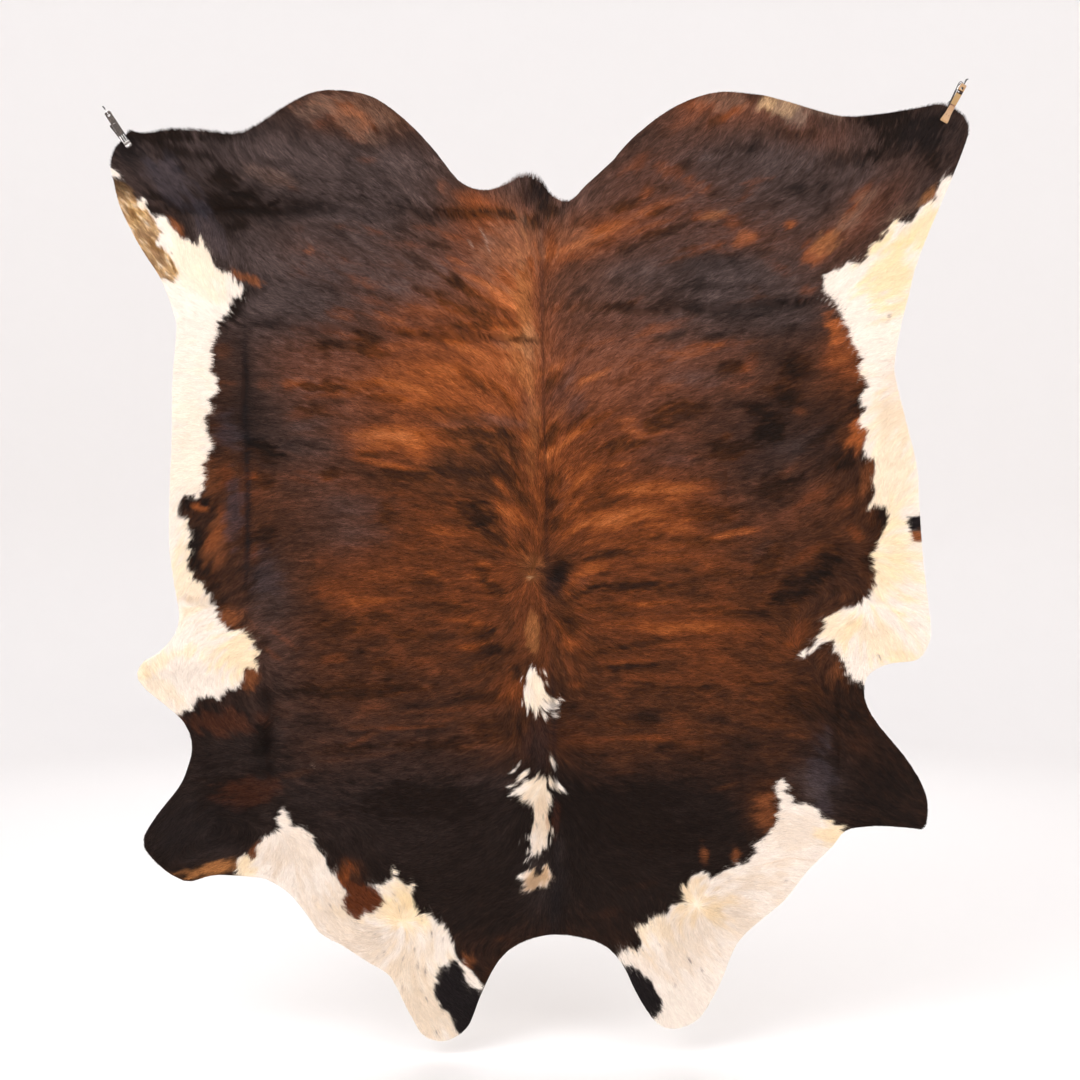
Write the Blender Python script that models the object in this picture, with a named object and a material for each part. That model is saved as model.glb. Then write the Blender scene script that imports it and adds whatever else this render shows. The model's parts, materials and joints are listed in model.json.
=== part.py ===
"""A brindle cowhide rug, hair side out, hung by two spring clips at its hind shanks.

The rug is one sheet of hair-on leather, cut along the animal's own outline: two hind shanks at the
top with the tail's root between them, the flanks, and two fore shanks with the neck at the bottom.
It hangs in the X-Z plane with its hair facing -Y.  The origin is the middle of the line between
the two clips' eyes.  Tables are in millimetres; every object is built in metres.
"""
import math

import bmesh
import bpy
import numpy as np
from mathutils import Vector
from mathutils.geometry import delaunay_2d_cdt

MM = 0.001

# ---- driving dimensions, in millimetres -----------------------------------------------------
HIDE_THICKNESS = 3.0        # the skin with the matted roots of its hair
RIM_STEP = 17.0             # spacing of the points along the hide's cut edge
FIELD_STEP = 56.0           # spacing of the points inside the hide
FOLD_STEP = 36.0            # spacing of the points along a fold
FOLD_END = 0.22             # share of a fold's length over which each end dies away
FOLD_UNEVEN = 0.28          # how much its height swells and sinks along the way
FOLD_WAVES = 2.6            # how many times it does so
FOLD_ROWS = (-1.8, -0.8, 0.0, 0.8, 1.8)     # rows of points along it, in half widths
EDGE_CURL = 5.0             # how far the cut edge lifts and dips
EDGE_CURL_REACH = 55.0      # how far into the sheet that curl is felt

SEAT_GAP = 0.3              # clear gap between neighbouring pieces
EYE_SPAN = 1976.0           # across, from the left clip's eye to the right clip's eye
EYE_RISE = 62.0             # the right eye hangs this much higher than the left
EYE_SETBACK = 10.5          # from a clip's top end to its eye
EYE_RADIUS = 3.3
CLIP_LENGTH = 98.0
CLIP_LEAN_LEFT = 33.3       # degrees from upright; both clips lean in towards the hide
CLIP_LEAN_RIGHT = -28.6
JAW_MIDDLE = 84.0           # from a clip's top end to the middle of its bite
FLAT_RADIUS = 60.0          # the sheet is pressed flat this far round the bite
FLAT_FADE = 120.0           # and takes up its folds again over this distance

# ---- the hide's outline ----------------------------------------------------------------------
# Each row runs on from the last, down the left side, along the bottom and back over the top.
# A point is (across, up) from the middle of the hanging line; a smooth curve joins them all.
OUTLINE = {
    "left hind shank": [(-980, -120), (-985, -145), (-980, -170), (-965, -235), (-940, -290),
                        (-910, -345), (-865, -415), (-835, -495)],
    "left flank": [(-830, -530), (-840, -655), (-840, -785), (-845, -920), (-845, -1035),
                   (-830, -1150), (-825, -1190), (-835, -1235), (-870, -1275), (-905, -1295),
                   (-920, -1325), (-910, -1350), (-865, -1390), (-815, -1435), (-795, -1485)],
    "left fore shank": [(-800, -1525), (-820, -1580), (-870, -1645), (-905, -1700),
                        (-905, -1725), (-870, -1765), (-820, -1800), (-795, -1805),
                        (-745, -1790), (-660, -1795), (-625, -1800), (-570, -1835),
                        (-525, -1890)],
    "left of the neck": [(-495, -1930), (-445, -1955), (-390, -1990), (-345, -2015),
                         (-325, -2040), (-285, -2120), (-260, -2160), (-220, -2175),
                         (-185, -2165), (-155, -2140), (-125, -2065), (-85, -1990),
                         (-35, -1950)],
    "right of the neck": [(45, -1930), (150, -1950), (200, -1995), (225, -2045), (250, -2090),
                          (285, -2135), (325, -2145), (375, -2125), (410, -2075),
                          (435, -2025), (475, -1940)],
    "right fore shank": [(575, -1850), (630, -1780), (685, -1725), (720, -1685), (795, -1675),
                         (870, -1680), (900, -1680), (905, -1620), (885, -1565),
                         (845, -1505), (795, -1445), (765, -1395), (760, -1355)],
    "right flank": [(770, -1325), (815, -1300), (880, -1290), (905, -1250), (910, -1210),
                    (895, -1065), (885, -930), (880, -850), (855, -750), (830, -640),
                    (830, -600), (845, -520), (865, -445)],
    "right hind shank": [(880, -385), (910, -305), (955, -200), (980, -140), (1005, -65),
                         (990, -30), (975, -20), (940, -5)],
    "right of the rump": [(880, -15), (790, -30), (715, -35), (650, -20), (570, 5), (495, 20),
                          (410, 20), (310, -20), (225, -85), (175, -140)],
    "root of the tail": [(120, -190), (80, -230), (40, -220), (5, -180), (-35, -175),
                         (-75, -195)],
    "left of the rump": [(-120, -205), (-175, -185), (-240, -105), (-310, -35), (-390, 15),
                         (-495, 25), (-570, -5), (-645, -55), (-700, -75), (-810, -60),
                         (-915, -70), (-960, -90)],
}

# ---- the hide's relief -----------------------------------------------------------------------
# A fold runs on a smooth curve through its points.  Its rise is towards the viewer, so a trough
# has a negative rise; it fades out over its half width on both sides and past its ends.
FOLDS = [
    # name                    points it runs through                       rise  half width
    ("packing crease, rump",  [(-880, -258), (-420, -266), (-70, -272)],    -7.0, 20),
    ("rump crease, right",    [(350, -246), (620, -246)],                   -3.0, 18),
    ("packing crease, loin",  [(-678, -512), (-300, -530), (5, -552)],      -7.0, 20),
    ("loin crease, right",    [(150, -488), (440, -480), (740, -460)],      -6.0, 22),
    ("left flank crease",     [(-835, -1162), (-680, -1168)],               -7.0, 16),
    ("left upright crease",   [(-678, -560), (-682, -850), (-670, -1120)],  -6.0, 18),
    ("left shoulder crease",  [(-620, -1300), (-614, -1620)],               -8.0, 18),
    ("right shoulder ridge",  [(684, -1250), (688, -1650)],                  7.0, 20),
    ("right shoulder cross",  [(470, -1282), (640, -1284)],                 -4.0, 20),
    ("spine",                 [(8, -235), (12, -700), (24, -1150),
                               (40, -1600), (46, -1900)],                    6.0, 26),
    ("left flank ridge",      [(-905, -1335), (-775, -1298)],                6.0, 18),
    ("left fore shank fold",  [(-662, -1775), (-570, -1710)],                5.0, 22),
    ("left neck fold",        [(-440, -1935), (-315, -1905)],                5.0, 22),
    ("right fore shank fold", [(610, -1755), (735, -1700)],                  6.0, 22),
    ("right neck fold",       [(375, -1870), (440, -1915)],                  5.0, 20),
    ("pull of the left clip", [(-900, -160), (-740, -330)],                  5.0, 34),
    ("pull of the right clip", [(905, -110), (640, -400)],                   5.0, 34),
    ("right flank crease",    [(790, -985), (870, -990)],                   -4.0, 22),
]

# A swell is a broad dome (or, with a negative rise, a broad hollow) where the sheet bellies out.
SWELLS = [
    # name                  middle          half size      rise
    ("left rump",           (-480, -150),   (300, 150),    10.0),
    ("right rump",          (480, -170),    (330, 200),    11.0),
    ("left loin",           (-420, -390),   (330, 120),     9.0),
    ("right loin",          (430, -620),    (330, 180),     9.0),
    ("left ribs",           (-380, -880),   (300, 330),    11.0),
    ("right ribs",          (380, -980),    (320, 330),    10.0),
    ("left belly edge",     (-780, -800),   (110, 330),    12.0),
    ("right belly edge",    (830, -900),    (130, 360),    22.0),
    ("left shoulder",       (-350, -1450),  (260, 260),    10.0),
    ("right shoulder",      (360, -1480),   (280, 260),     9.0),
    ("left fore shank",     (-790, -1710),  (170, 140),    16.0),
    ("right fore shank",    (820, -1610),   (150, 150),    20.0),
    ("left flank corner",   (-850, -1310),  (110, 90),     14.0),
    ("right flank corner",  (850, -1240),   (120, 110),    18.0),
    ("left neck flap",      (-225, -2080),  (120, 140),    14.0),
    ("right neck flap",     (325, -2060),   (120, 140),    14.0),
    ("neck hollow",         (45, -1820),    (220, 140),    -7.0),
    ("tail hollow",         (50, -260),     (130, 90),     -6.0),
]

# The cut edge dries unevenly: these waves along its length add up to its curl.
EDGE_WAVES = [
    # waves round the hide   share   phase, degrees
    (11, 0.40, 20),
    (17, 0.35, 140),
    (29, 0.25, 250),
]

# ---- the clips' sections ---------------------------------------------------------------------
# A bar is lofted through stations along its clip: the distance from the top end, the half width,
# and how far its inner and outer faces stand from the middle of the hide.
BITE = HIDE_THICKNESS / 2 + SEAT_GAP
STEEL = 1.4                 # thickness of the pressed-steel strip
PLATE_INNER = BITE + STEEL + SEAT_GAP
LEFT_BODY = [
    # along  half width  inner         outer
    (0.0,    5.2,        BITE,         BITE + STEEL),
    (1.6,    7.0,        BITE,         BITE + STEEL),
    (4.0,    7.8,        BITE,         BITE + STEEL),
    (64.0,   7.8,        BITE,         BITE + STEEL),
    (66.5,   8.0,        BITE,         BITE + 3.6),
    (86.0,   8.0,        BITE,         BITE + 3.9),
    (90.0,   8.0,        BITE,         BITE + 3.2),
    (93.0,   8.0,        BITE,         BITE + 3.9),
    (96.4,   7.2,        BITE,         BITE + 3.2),
    (98.0,   5.6,        BITE,         BITE + 1.8),
]
LEFT_PLATE = [
    (1.4,    5.0,        PLATE_INNER,  PLATE_INNER + 1.2),
    (3.4,    6.9,        PLATE_INNER,  PLATE_INNER + 1.4),
    (61.5,   7.1,        PLATE_INNER,  PLATE_INNER + 1.4),
    (63.2,   7.1,        PLATE_INNER,  PLATE_INNER + 1.4),
]
LEFT_LEVER = [
    (28.0,   5.6,        -BITE - 1.6,  -BITE),
    (30.0,   7.2,        -BITE - 1.6,  -BITE),
    (95.0,   7.6,        -BITE - 1.6,  -BITE),
    (98.0,   6.0,        -BITE - 1.6,  -BITE),
]
RIGHT_FRONT = [
    (0.0,    5.8,        BITE,         BITE + 5.2),
    (1.5,    7.0,        BITE,         BITE + 6.0),
    (16.8,   7.0,        BITE,         BITE + 6.0),
    (18.0,   6.9,        BITE,         BITE + 2.6),
    (24.4,   6.8,        BITE,         BITE + 2.6),
    (25.6,   6.8,        BITE,         BITE + 6.2),
    (54.0,   6.5,        BITE,         BITE + 6.2),
    (56.0,   6.4,        BITE,         BITE + 5.2),
    (58.0,   6.4,        BITE,         BITE + 5.8),
    (76.0,   6.9,        BITE,         BITE + 5.4),
    (88.0,   8.6,        BITE,         BITE + 4.6),
    (94.0,   9.4,        BITE,         BITE + 4.0),
    (97.0,   9.0,        BITE,         BITE + 3.0),
    (98.0,   8.0,        BITE,         BITE + 2.0),
]
RIGHT_BACK = [
    (30.0,   5.8,        -BITE - 4.6,  -BITE),
    (31.5,   6.6,        -BITE - 5.0,  -BITE),
    (76.0,   6.9,        -BITE - 4.6,  -BITE),
    (94.0,   9.2,        -BITE - 3.4,  -BITE),
    (98.0,   7.8,        -BITE - 2.0,  -BITE),
]
LEVER_SKEW = 5.3            # degrees that the left clip's back lever is twisted round its tip
PIN_RADIUS = 1.45
PIN_HALF_LENGTH = 6.4
PIN_ALONG = 50.0            # clear of the hide's corner, which reaches up between the levers

# The right clip's wire: a hairpin beside the wood, as (along, to the left of the middle line).
WIRE_RADIUS = 0.9
WIRE_DEPTH = BITE + 2.6     # its middle stands this far in front of the middle of the hide
WIRE_ROUTE = [(64.0, 8.6), (44.0, 9.6), (24.0, 10.9), (6.0, 12.0), (1.0, 11.8), (-2.2, 10.2),
              (-3.0, 7.6), (-2.2, 5.0), (-1.5, 3.0)]


def smooth_curve(points, step, closed):
    """Points about one step apart on the Catmull-Rom curve through the given (across, up) points.

    Between two points p1 and p2, with p0 before and p3 after them, the curve at share t is
    half of 2 p1 + (p2 - p0) t + (2 p0 - 5 p1 + 4 p2 - p3) t^2 + (3 p1 - p0 - 3 p2 + p3) t^3.
    """
    given = np.array(points, float)
    if closed:
        spans = [np.roll(given, shift, axis=0) for shift in (1, 0, -1, -2)]
    else:
        padded = np.vstack([2 * given[0] - given[1], given, 2 * given[-1] - given[-2]])
        spans = [padded[0:-3], padded[1:-2], padded[2:-1], padded[3:]]
    out = []
    for p0, p1, p2, p3 in zip(*spans):
        count = max(1, round(np.linalg.norm(p2 - p1) / step))
        for t in np.arange(count) / count:
            out.append((2 * p1 + (p2 - p0) * t + (2 * p0 - 5 * p1 + 4 * p2 - p3) * t ** 2
                        + (3 * p1 - p0 - 3 * p2 + p3) * t ** 3) / 2)
    if not closed:
        out.append(given[-1])
    return np.array(out)


def from_path(points, path):
    """For each point, its distance from an open run of short lines and the share of the way."""
    start, run = path[:-1], np.diff(path, axis=0)
    offset = points[:, None, :] - start
    share = np.clip((offset * run).sum(axis=2) / (run * run).sum(axis=1), 0, 1)
    gaps = np.linalg.norm(offset - share[:, :, None] * run, axis=2)
    nearest = gaps.argmin(axis=1)
    each = np.arange(len(points))
    return gaps[each, nearest], (nearest + share[each, nearest]) / len(run)


def from_loop(points, loop):
    """For each point, its distance from the closed loop and the share of the way round it."""
    gaps = np.linalg.norm(points[:, None, :] - loop[None, :, :], axis=2)
    nearest = gaps.argmin(axis=1)
    return gaps[np.arange(len(points)), nearest], nearest / len(loop)


def inside_loop(points, loop):
    """True where a ray to the right of the point crosses the loop an odd number of times."""
    x, z = points[:, 0, None], points[:, 1, None]
    start, end = loop, np.roll(loop, -1, axis=0)
    spans = (start[:, 1] > z) != (end[:, 1] > z)
    rise = np.where(end[:, 1] == start[:, 1], 1, end[:, 1] - start[:, 1])
    crossing = start[:, 0] + (z - start[:, 1]) * (end[:, 0] - start[:, 0]) / rise
    return (spans & (crossing > x)).sum(axis=1) % 2 == 1


def clip_axes(side):
    """Top end, the way down the clip, and the way to its left, as (across, up) vectors."""
    lean = math.radians(CLIP_LEAN_LEFT if side < 0 else CLIP_LEAN_RIGHT)
    down = np.array([math.sin(lean), -math.cos(lean)])
    left = np.array([-math.cos(lean), -math.sin(lean)])
    eye = np.array([side * EYE_SPAN / 2, side * EYE_RISE / 2])
    return eye - EYE_SETBACK * down, down, left


def relief(points, rim):
    """How far the middle of the sheet stands towards the viewer at each (across, up) point."""
    rise = np.zeros(len(points))
    for _, middle, half_size, height in SWELLS:
        reach = np.linalg.norm((points - middle) / half_size, axis=1)
        rise += height * np.exp(-reach ** 2)
    for number, (_, route, height, half_width) in enumerate(FOLDS):
        gap, share = from_path(points, smooth_curve(route, FOLD_STEP, closed=False))
        fade = np.minimum(1, np.minimum(share, 1 - share) / FOLD_END + 0.15)
        uneven = 1 + FOLD_UNEVEN * np.sin(FOLD_WAVES * 2 * np.pi * share + number)
        rise += height * fade * uneven * np.exp(-(gap / half_width) ** 2)
    edge_gap, way_round = from_loop(points, rim)
    wave = sum(share * np.sin(2 * np.pi * count * way_round + math.radians(phase))
               for count, share, phase in EDGE_WAVES)
    rise += EDGE_CURL * wave * np.exp(-(edge_gap / EDGE_CURL_REACH) ** 2)
    for side in (-1, 1):
        top, down, _ = clip_axes(side)
        gap = np.linalg.norm(points - top - JAW_MIDDLE * down, axis=1)
        rise *= np.clip((gap - FLAT_RADIUS) / FLAT_FADE, 0, 1) ** 2
    return rise


def fold_rows():
    """Rows of points along each fold, side by side, so that its section is even all the way."""
    rows = []
    for _, route, _, half_width in FOLDS:
        path = smooth_curve(route, FOLD_STEP, closed=False)
        along = np.gradient(path, axis=0)
        along /= np.linalg.norm(along, axis=1)[:, None]
        across = half_width * np.column_stack([-along[:, 1], along[:, 0]])
        rows += [path + share * across for share in FOLD_ROWS]
    return rows


def staggered_rows(low, high):
    """Rows of evenly spaced points, every second row shifted by half a step."""
    rows = []
    for number, level in enumerate(np.arange(low[1], high[1], FIELD_STEP * math.sqrt(3) / 2)):
        across = np.arange(low[0] + number % 2 * FIELD_STEP / 2, high[0], FIELD_STEP)
        rows.append(np.column_stack([across, np.full(len(across), level)]))
    return rows


def field_points(rim):
    """The points inside the sheet: the folds' own rows first, then an even field between them."""
    kept = np.empty((0, 2))
    plan = [(fold_rows(), 0.36 * FOLD_STEP),
            (staggered_rows(rim.min(axis=0), rim.max(axis=0)), 0.62 * FIELD_STEP)]
    for rows, clear in plan:
        for row in rows:
            row = row[inside_loop(row, rim)]
            for point in row:
                if np.linalg.norm(rim - point, axis=1).min() < 0.7 * RIM_STEP:
                    continue
                if len(kept) and np.linalg.norm(kept - point, axis=1).min() < clear:
                    continue
                kept = np.vstack([kept, point])
    return kept


def material(name, color, roughness, metallic=0.0):
    """A plain Principled material in the piece's own colour."""
    made = bpy.data.materials.new(name)
    made.use_nodes = True
    shader = made.node_tree.nodes["Principled BSDF"]
    shader.inputs["Base Color"].default_value = (*color, 1)
    shader.inputs["Roughness"].default_value = roughness
    shader.inputs["Metallic"].default_value = metallic
    return made


def add_object(name, mesh, finish, smooth_angle):
    """Put a finished mesh in the scene under its node's name."""
    obj = bpy.data.objects.new(name, mesh)
    bpy.context.collection.objects.link(obj)
    mesh.materials.append(finish)
    mesh.shade_smooth()
    mesh.set_sharp_from_angle(angle=math.radians(smooth_angle))
    return obj


def closed_mesh(name, points_mm, faces):
    """A mesh from millimetre points, with every face turned outwards."""
    mesh = bpy.data.meshes.new(name)
    mesh.from_pydata([tuple(p) for p in np.asarray(points_mm) * MM], [], faces)
    shell = bmesh.new()
    shell.from_mesh(mesh)
    bmesh.ops.recalc_face_normals(shell, faces=shell.faces)
    shell.to_mesh(mesh)
    shell.free()
    return mesh


def make_hide(finish):
    """The sheet: one triangulation of the outline, used for the hair side and the flesh side."""
    corners = [point for run in OUTLINE.values() for point in run]
    rim = smooth_curve(corners, RIM_STEP, closed=True)
    flat = np.vstack([rim, field_points(rim)])
    ring = list(range(len(rim)))
    flat_points, _, faces, *_ = delaunay_2d_cdt([Vector(p) for p in flat], [], [ring], 1, 1e-4)
    flat = np.array([tuple(p) for p in flat_points])
    stand = relief(flat, rim)
    half = HIDE_THICKNESS / 2
    hair_side = np.column_stack([flat[:, 0], -stand - half, flat[:, 1]])
    flesh_side = np.column_stack([flat[:, 0], -stand + half, flat[:, 1]])
    count = len(flat)
    skin = [tuple(f) for f in faces]
    lining = [tuple(i + count for i in reversed(f)) for f in faces]
    edge = [(i, ring[i - 1], ring[i - 1] + count, i + count) for i in ring]
    mesh = closed_mesh("hide", np.vstack([hair_side, flesh_side]), skin + lining + edge)
    return add_object("hide", mesh, finish, smooth_angle=50)


def place(side, along, left, depth):
    """World point, in millimetres, of a place on a clip; depth is towards the viewer."""
    top, down, leftward = clip_axes(side)
    across, up = top + along * down + left * leftward
    return across, -depth, up


def make_bar(name, side, stations, finish, skew=0.0, round_edge=0.45):
    """A bar lofted through its stations; skew turns it, in degrees, round its lower tip."""
    turn = math.radians(skew)
    points, faces = [], []
    for along, half_width, inner, outer in stations:
        for left, depth in ((-half_width, inner), (half_width, inner),
                            (half_width, outer), (-half_width, outer)):
            back = CLIP_LENGTH - along
            points.append(place(side, CLIP_LENGTH - back * math.cos(turn) + left * math.sin(turn),
                                left * math.cos(turn) + back * math.sin(turn), depth))
    for ring in range(0, 4 * len(stations) - 4, 4):
        faces += [(ring + i, ring + (i + 1) % 4, ring + 4 + (i + 1) % 4, ring + 4 + i)
                  for i in range(4)]
    last = 4 * len(stations) - 4
    faces += [(3, 2, 1, 0), (last, last + 1, last + 2, last + 3)]
    obj = add_object(name, closed_mesh(name, points, faces), finish, smooth_angle=40)
    soften = obj.modifiers.new("soft edges", "BEVEL")
    soften.width = round_edge * MM
    soften.segments = 2
    soften.limit_method = "ANGLE"
    soften.angle_limit = math.radians(40)
    return obj


def make_rod(name, side, route, radius, depth, finish):
    """A round rod along a route of (along, left) places, at one depth."""
    curve = bpy.data.curves.new(name, "CURVE")
    curve.dimensions = "3D"
    curve.bevel_depth = radius * MM
    curve.bevel_resolution = 2
    curve.use_fill_caps = True
    run = curve.splines.new("POLY")
    run.points.add(len(route) - 1)
    for point, (along, left) in zip(run.points, route):
        point.co = (*(MM * value for value in place(side, along, left, depth)), 1)
    curve.materials.append(finish)
    obj = bpy.data.objects.new(name, curve)
    bpy.context.collection.objects.link(obj)
    return obj


def cut_eye(side, bars):
    """Cut the clip's round eye through its bars."""
    reach = 20.0
    bpy.ops.mesh.primitive_cylinder_add(
        vertices=24, radius=EYE_RADIUS * MM, depth=2 * reach * MM, rotation=(math.pi / 2, 0, 0),
        location=tuple(MM * value for value in place(side, EYE_SETBACK, 0, 0)))
    cutter = bpy.context.object
    cutter.name = "eye_cutter_left" if side < 0 else "eye_cutter_right"
    cutter.hide_render = True
    cutter.display_type = "WIRE"
    for bar in bars:
        cut = bar.modifiers.new("eye", "BOOLEAN")
        cut.operation = "DIFFERENCE"
        cut.object = cutter


def make_left_clip(bright, dark):
    """The metal clip: a bright strip with a swollen jaw, a dark face plate and a back lever."""
    body = make_bar("clip_left_body", -1, LEFT_BODY, bright)
    plate = make_bar("clip_left_plate", -1, LEFT_PLATE, dark, round_edge=0.3)
    make_bar("clip_left_lever", -1, LEFT_LEVER, dark, skew=LEVER_SKEW, round_edge=0.3)
    pin_route = [(PIN_ALONG, -PIN_HALF_LENGTH), (PIN_ALONG, PIN_HALF_LENGTH)]
    make_rod("clip_left_pin", -1, pin_route, PIN_RADIUS, 0, bright)
    cut_eye(-1, [body, plate])


def make_right_clip(wood, bright):
    """The wooden clip: a notched front bar with a flared jaw, a back bar and a wire hairpin."""
    front = make_bar("clip_right_front", 1, RIGHT_FRONT, wood, round_edge=0.6)
    make_bar("clip_right_back", 1, RIGHT_BACK, wood, round_edge=0.6)
    make_rod("clip_right_frame", 1, smooth_curve(WIRE_ROUTE, 2.0, closed=False), WIRE_RADIUS,
             WIRE_DEPTH, bright)
    pin_route = [(PIN_ALONG, -PIN_HALF_LENGTH), (PIN_ALONG, PIN_HALF_LENGTH)]
    make_rod("clip_right_pin", 1, pin_route, PIN_RADIUS, 0, bright)
    cut_eye(1, [front])


def main():
    """Clear the scene and build the rug with its clips."""
    for obj in list(bpy.data.objects):
        bpy.data.objects.remove(obj)
    make_hide(material("brindle_hide", (0.16, 0.075, 0.04), 0.6))
    bright = material("bright_steel", (0.80, 0.80, 0.82), 0.15, 1.0)
    dark = material("dark_steel", (0.16, 0.14, 0.12), 0.4, 1.0)
    make_left_clip(bright, dark)
    make_right_clip(material("pale_wood", (0.72, 0.48, 0.27), 0.5), bright)


main()
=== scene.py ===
# %% [markdown]
# # A cowhide rug that hangs from two spring clips
# The real thing is one tanned cow skin with its hair left on: white flanks, a brindle back of rust
# streaks on charcoal, and a few white tufts along the backbone. Two clips bite the corners where the
# hind legs were, so the tail end is up. A rug like this could be a flat plane with a fur texture, but
# from the side it would look like paper. Here the skin is a thin curved sheet, and the coat is about
# 800,000 flat tapered hairs that lie along the combing of the hide, each with one colour of its own.
# Every shape below is a surface or a formula worked out with whole numpy arrays.

# %% Load the frame
import json

import bpy
import numpy as np
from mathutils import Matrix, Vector


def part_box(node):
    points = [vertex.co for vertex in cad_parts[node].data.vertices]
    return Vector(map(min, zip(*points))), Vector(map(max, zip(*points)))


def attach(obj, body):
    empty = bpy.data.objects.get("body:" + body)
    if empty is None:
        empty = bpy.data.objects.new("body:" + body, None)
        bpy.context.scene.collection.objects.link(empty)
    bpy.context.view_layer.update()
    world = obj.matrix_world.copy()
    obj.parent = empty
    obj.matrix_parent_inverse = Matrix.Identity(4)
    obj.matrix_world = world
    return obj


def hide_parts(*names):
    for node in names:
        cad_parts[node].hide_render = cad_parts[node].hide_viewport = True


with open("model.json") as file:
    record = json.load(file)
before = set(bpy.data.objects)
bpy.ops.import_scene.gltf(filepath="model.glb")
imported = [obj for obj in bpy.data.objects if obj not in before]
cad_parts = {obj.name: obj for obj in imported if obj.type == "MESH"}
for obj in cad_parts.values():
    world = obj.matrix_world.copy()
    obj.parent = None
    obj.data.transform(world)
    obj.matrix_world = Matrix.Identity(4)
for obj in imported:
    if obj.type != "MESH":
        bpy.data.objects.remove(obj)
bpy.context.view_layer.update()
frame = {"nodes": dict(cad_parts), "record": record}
print("nodes:", sorted(frame["nodes"]))

# %% [markdown]
# ## Camera, floor and light
# The picture of the rug was taken straight on with a normal lens, from about three and a half metres,
# with the lens at half the rug's height. A pale floor runs out to a pale studio wall that is far
# enough away for any camera to stand inside it. Two large soft lights in front give the short hair its
# satin shine, a third one lights the back, and a pale sky fills the shadows.

# %% Camera
MM = 0.001
LENS_MM = 50
CAMERA_PLACE = (0.0107, -3.48, -1.015)
TURNED_LEVEL = (np.pi / 2, 0, 0)

camera = bpy.data.objects.new("camera", bpy.data.cameras.new("camera"))
camera.data.lens = LENS_MM
camera.location = CAMERA_PLACE
camera.rotation_euler = TURNED_LEVEL
bpy.context.collection.objects.link(camera)
bpy.context.scene.camera = camera
bpy.context.scene.view_settings.view_transform = "Standard"
print("camera stands", -CAMERA_PLACE[1], "m in front of the hide")


# %% Helpers for materials
def srgb(red, green, blue):
    """A colour as a screen shows it, 0 to 255, turned to linear light: close to its 2.2th power."""
    shown = np.array([red, green, blue]) / 255
    linear = np.where(shown > 0.04045, ((shown + 0.055) / 1.055) ** 2.4, shown / 12.92)
    return (*linear.tolist(), 1.0)


def new_material(name, colour, roughness, metallic=0.0):
    """A Principled material with one base colour, its node tree, and the shader for what comes on top."""
    material = bpy.data.materials.new(name)
    material.use_nodes = True
    tree = material.node_tree
    shader = tree.nodes["Principled BSDF"]
    shader.inputs["Base Color"].default_value = colour
    shader.inputs["Roughness"].default_value = roughness
    shader.inputs["Metallic"].default_value = metallic
    return material, tree, shader


def add_node(tree, kind, **settings):
    """A node with its inputs set by name, such as Scale, or its own properties, such as operation."""
    node = tree.nodes.new(kind)
    for name, value in settings.items():
        socket = name.replace("_", " ")
        if socket in node.inputs:
            node.inputs[socket].default_value = value
        else:
            setattr(node, name, value)
    return node


def add_mesh(name, points, faces, material, smooth=True):
    """A mesh object at the origin from an array of points and an array of faces with equal corners."""
    mesh = bpy.data.meshes.new(name)
    corners = faces.shape[1]
    mesh.vertices.add(len(points))
    mesh.vertices.foreach_set("co", np.ascontiguousarray(points, dtype=np.float32).ravel())
    mesh.loops.add(faces.size)
    mesh.loops.foreach_set("vertex_index", np.ascontiguousarray(faces, dtype=np.int32).ravel())
    mesh.polygons.add(len(faces))
    mesh.polygons.foreach_set("loop_start", np.arange(0, faces.size, corners, dtype=np.int32))
    mesh.polygons.foreach_set("use_smooth", np.full(len(faces), smooth))
    mesh.update(calc_edges=True)
    mesh.materials.append(material)
    piece = bpy.data.objects.new(name, mesh)
    bpy.context.collection.objects.link(piece)
    return piece


# %% Floor and studio wall
FLOOR_LEVEL = -2.212
STUDIO_RADIUS = 7.0
COVE_RADIUS = 1.5
WALL_HEIGHT = 7.0
STUDIO_SIDES = 96


def studio_profile():
    """Out along the floor, round a quarter circle, and up the wall: rows of (distance, height)."""
    flat = [(distance, 0.0) for distance in np.linspace(0.0, STUDIO_RADIUS - COVE_RADIUS, 12)]
    turn = np.linspace(0, np.pi / 2, 14)[1:]
    out, rise = COVE_RADIUS * (1 - np.sin(turn)), COVE_RADIUS * (1 - np.cos(turn))
    cove = np.stack([STUDIO_RADIUS - out, rise], 1)
    wall = [(STUDIO_RADIUS, COVE_RADIUS + rise) for rise in np.linspace(0.5, WALL_HEIGHT, 5)]
    return np.vstack([flat, cove, wall])


def turned(profile, sides):
    """A profile turned about the upright axis: x = r cos(a), y = r sin(a), z = height, on a closed ring."""
    angle = np.linspace(0, 2 * np.pi, sides, endpoint=False)
    radius, height = profile[:, :1], np.repeat(profile[:, 1:], sides, axis=1)
    return np.stack([radius * np.cos(angle), radius * np.sin(angle), height], -1).reshape(-1, 3)


def ring_faces(rows, columns):
    """Four-cornered faces of a grid whose last column meets its first."""
    row = np.arange(rows - 1)[:, None] * columns
    here = np.arange(columns)[None, :]
    after = (here + 1) % columns
    quads = np.stack([row + here, row + after, row + columns + after, row + columns + here], -1)
    return quads.reshape(-1, 4)


studio_material = new_material("studio_pale", srgb(238, 235, 233), 0.85)[0]
profile = studio_profile()
studio = add_mesh(
    "studio_floor",
    turned(profile, STUDIO_SIDES) + (0, 0, FLOOR_LEVEL),
    ring_faces(len(profile), STUDIO_SIDES)[:, ::-1],
    studio_material,
)
print("studio floor:", len(studio.data.polygons), "faces")

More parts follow.
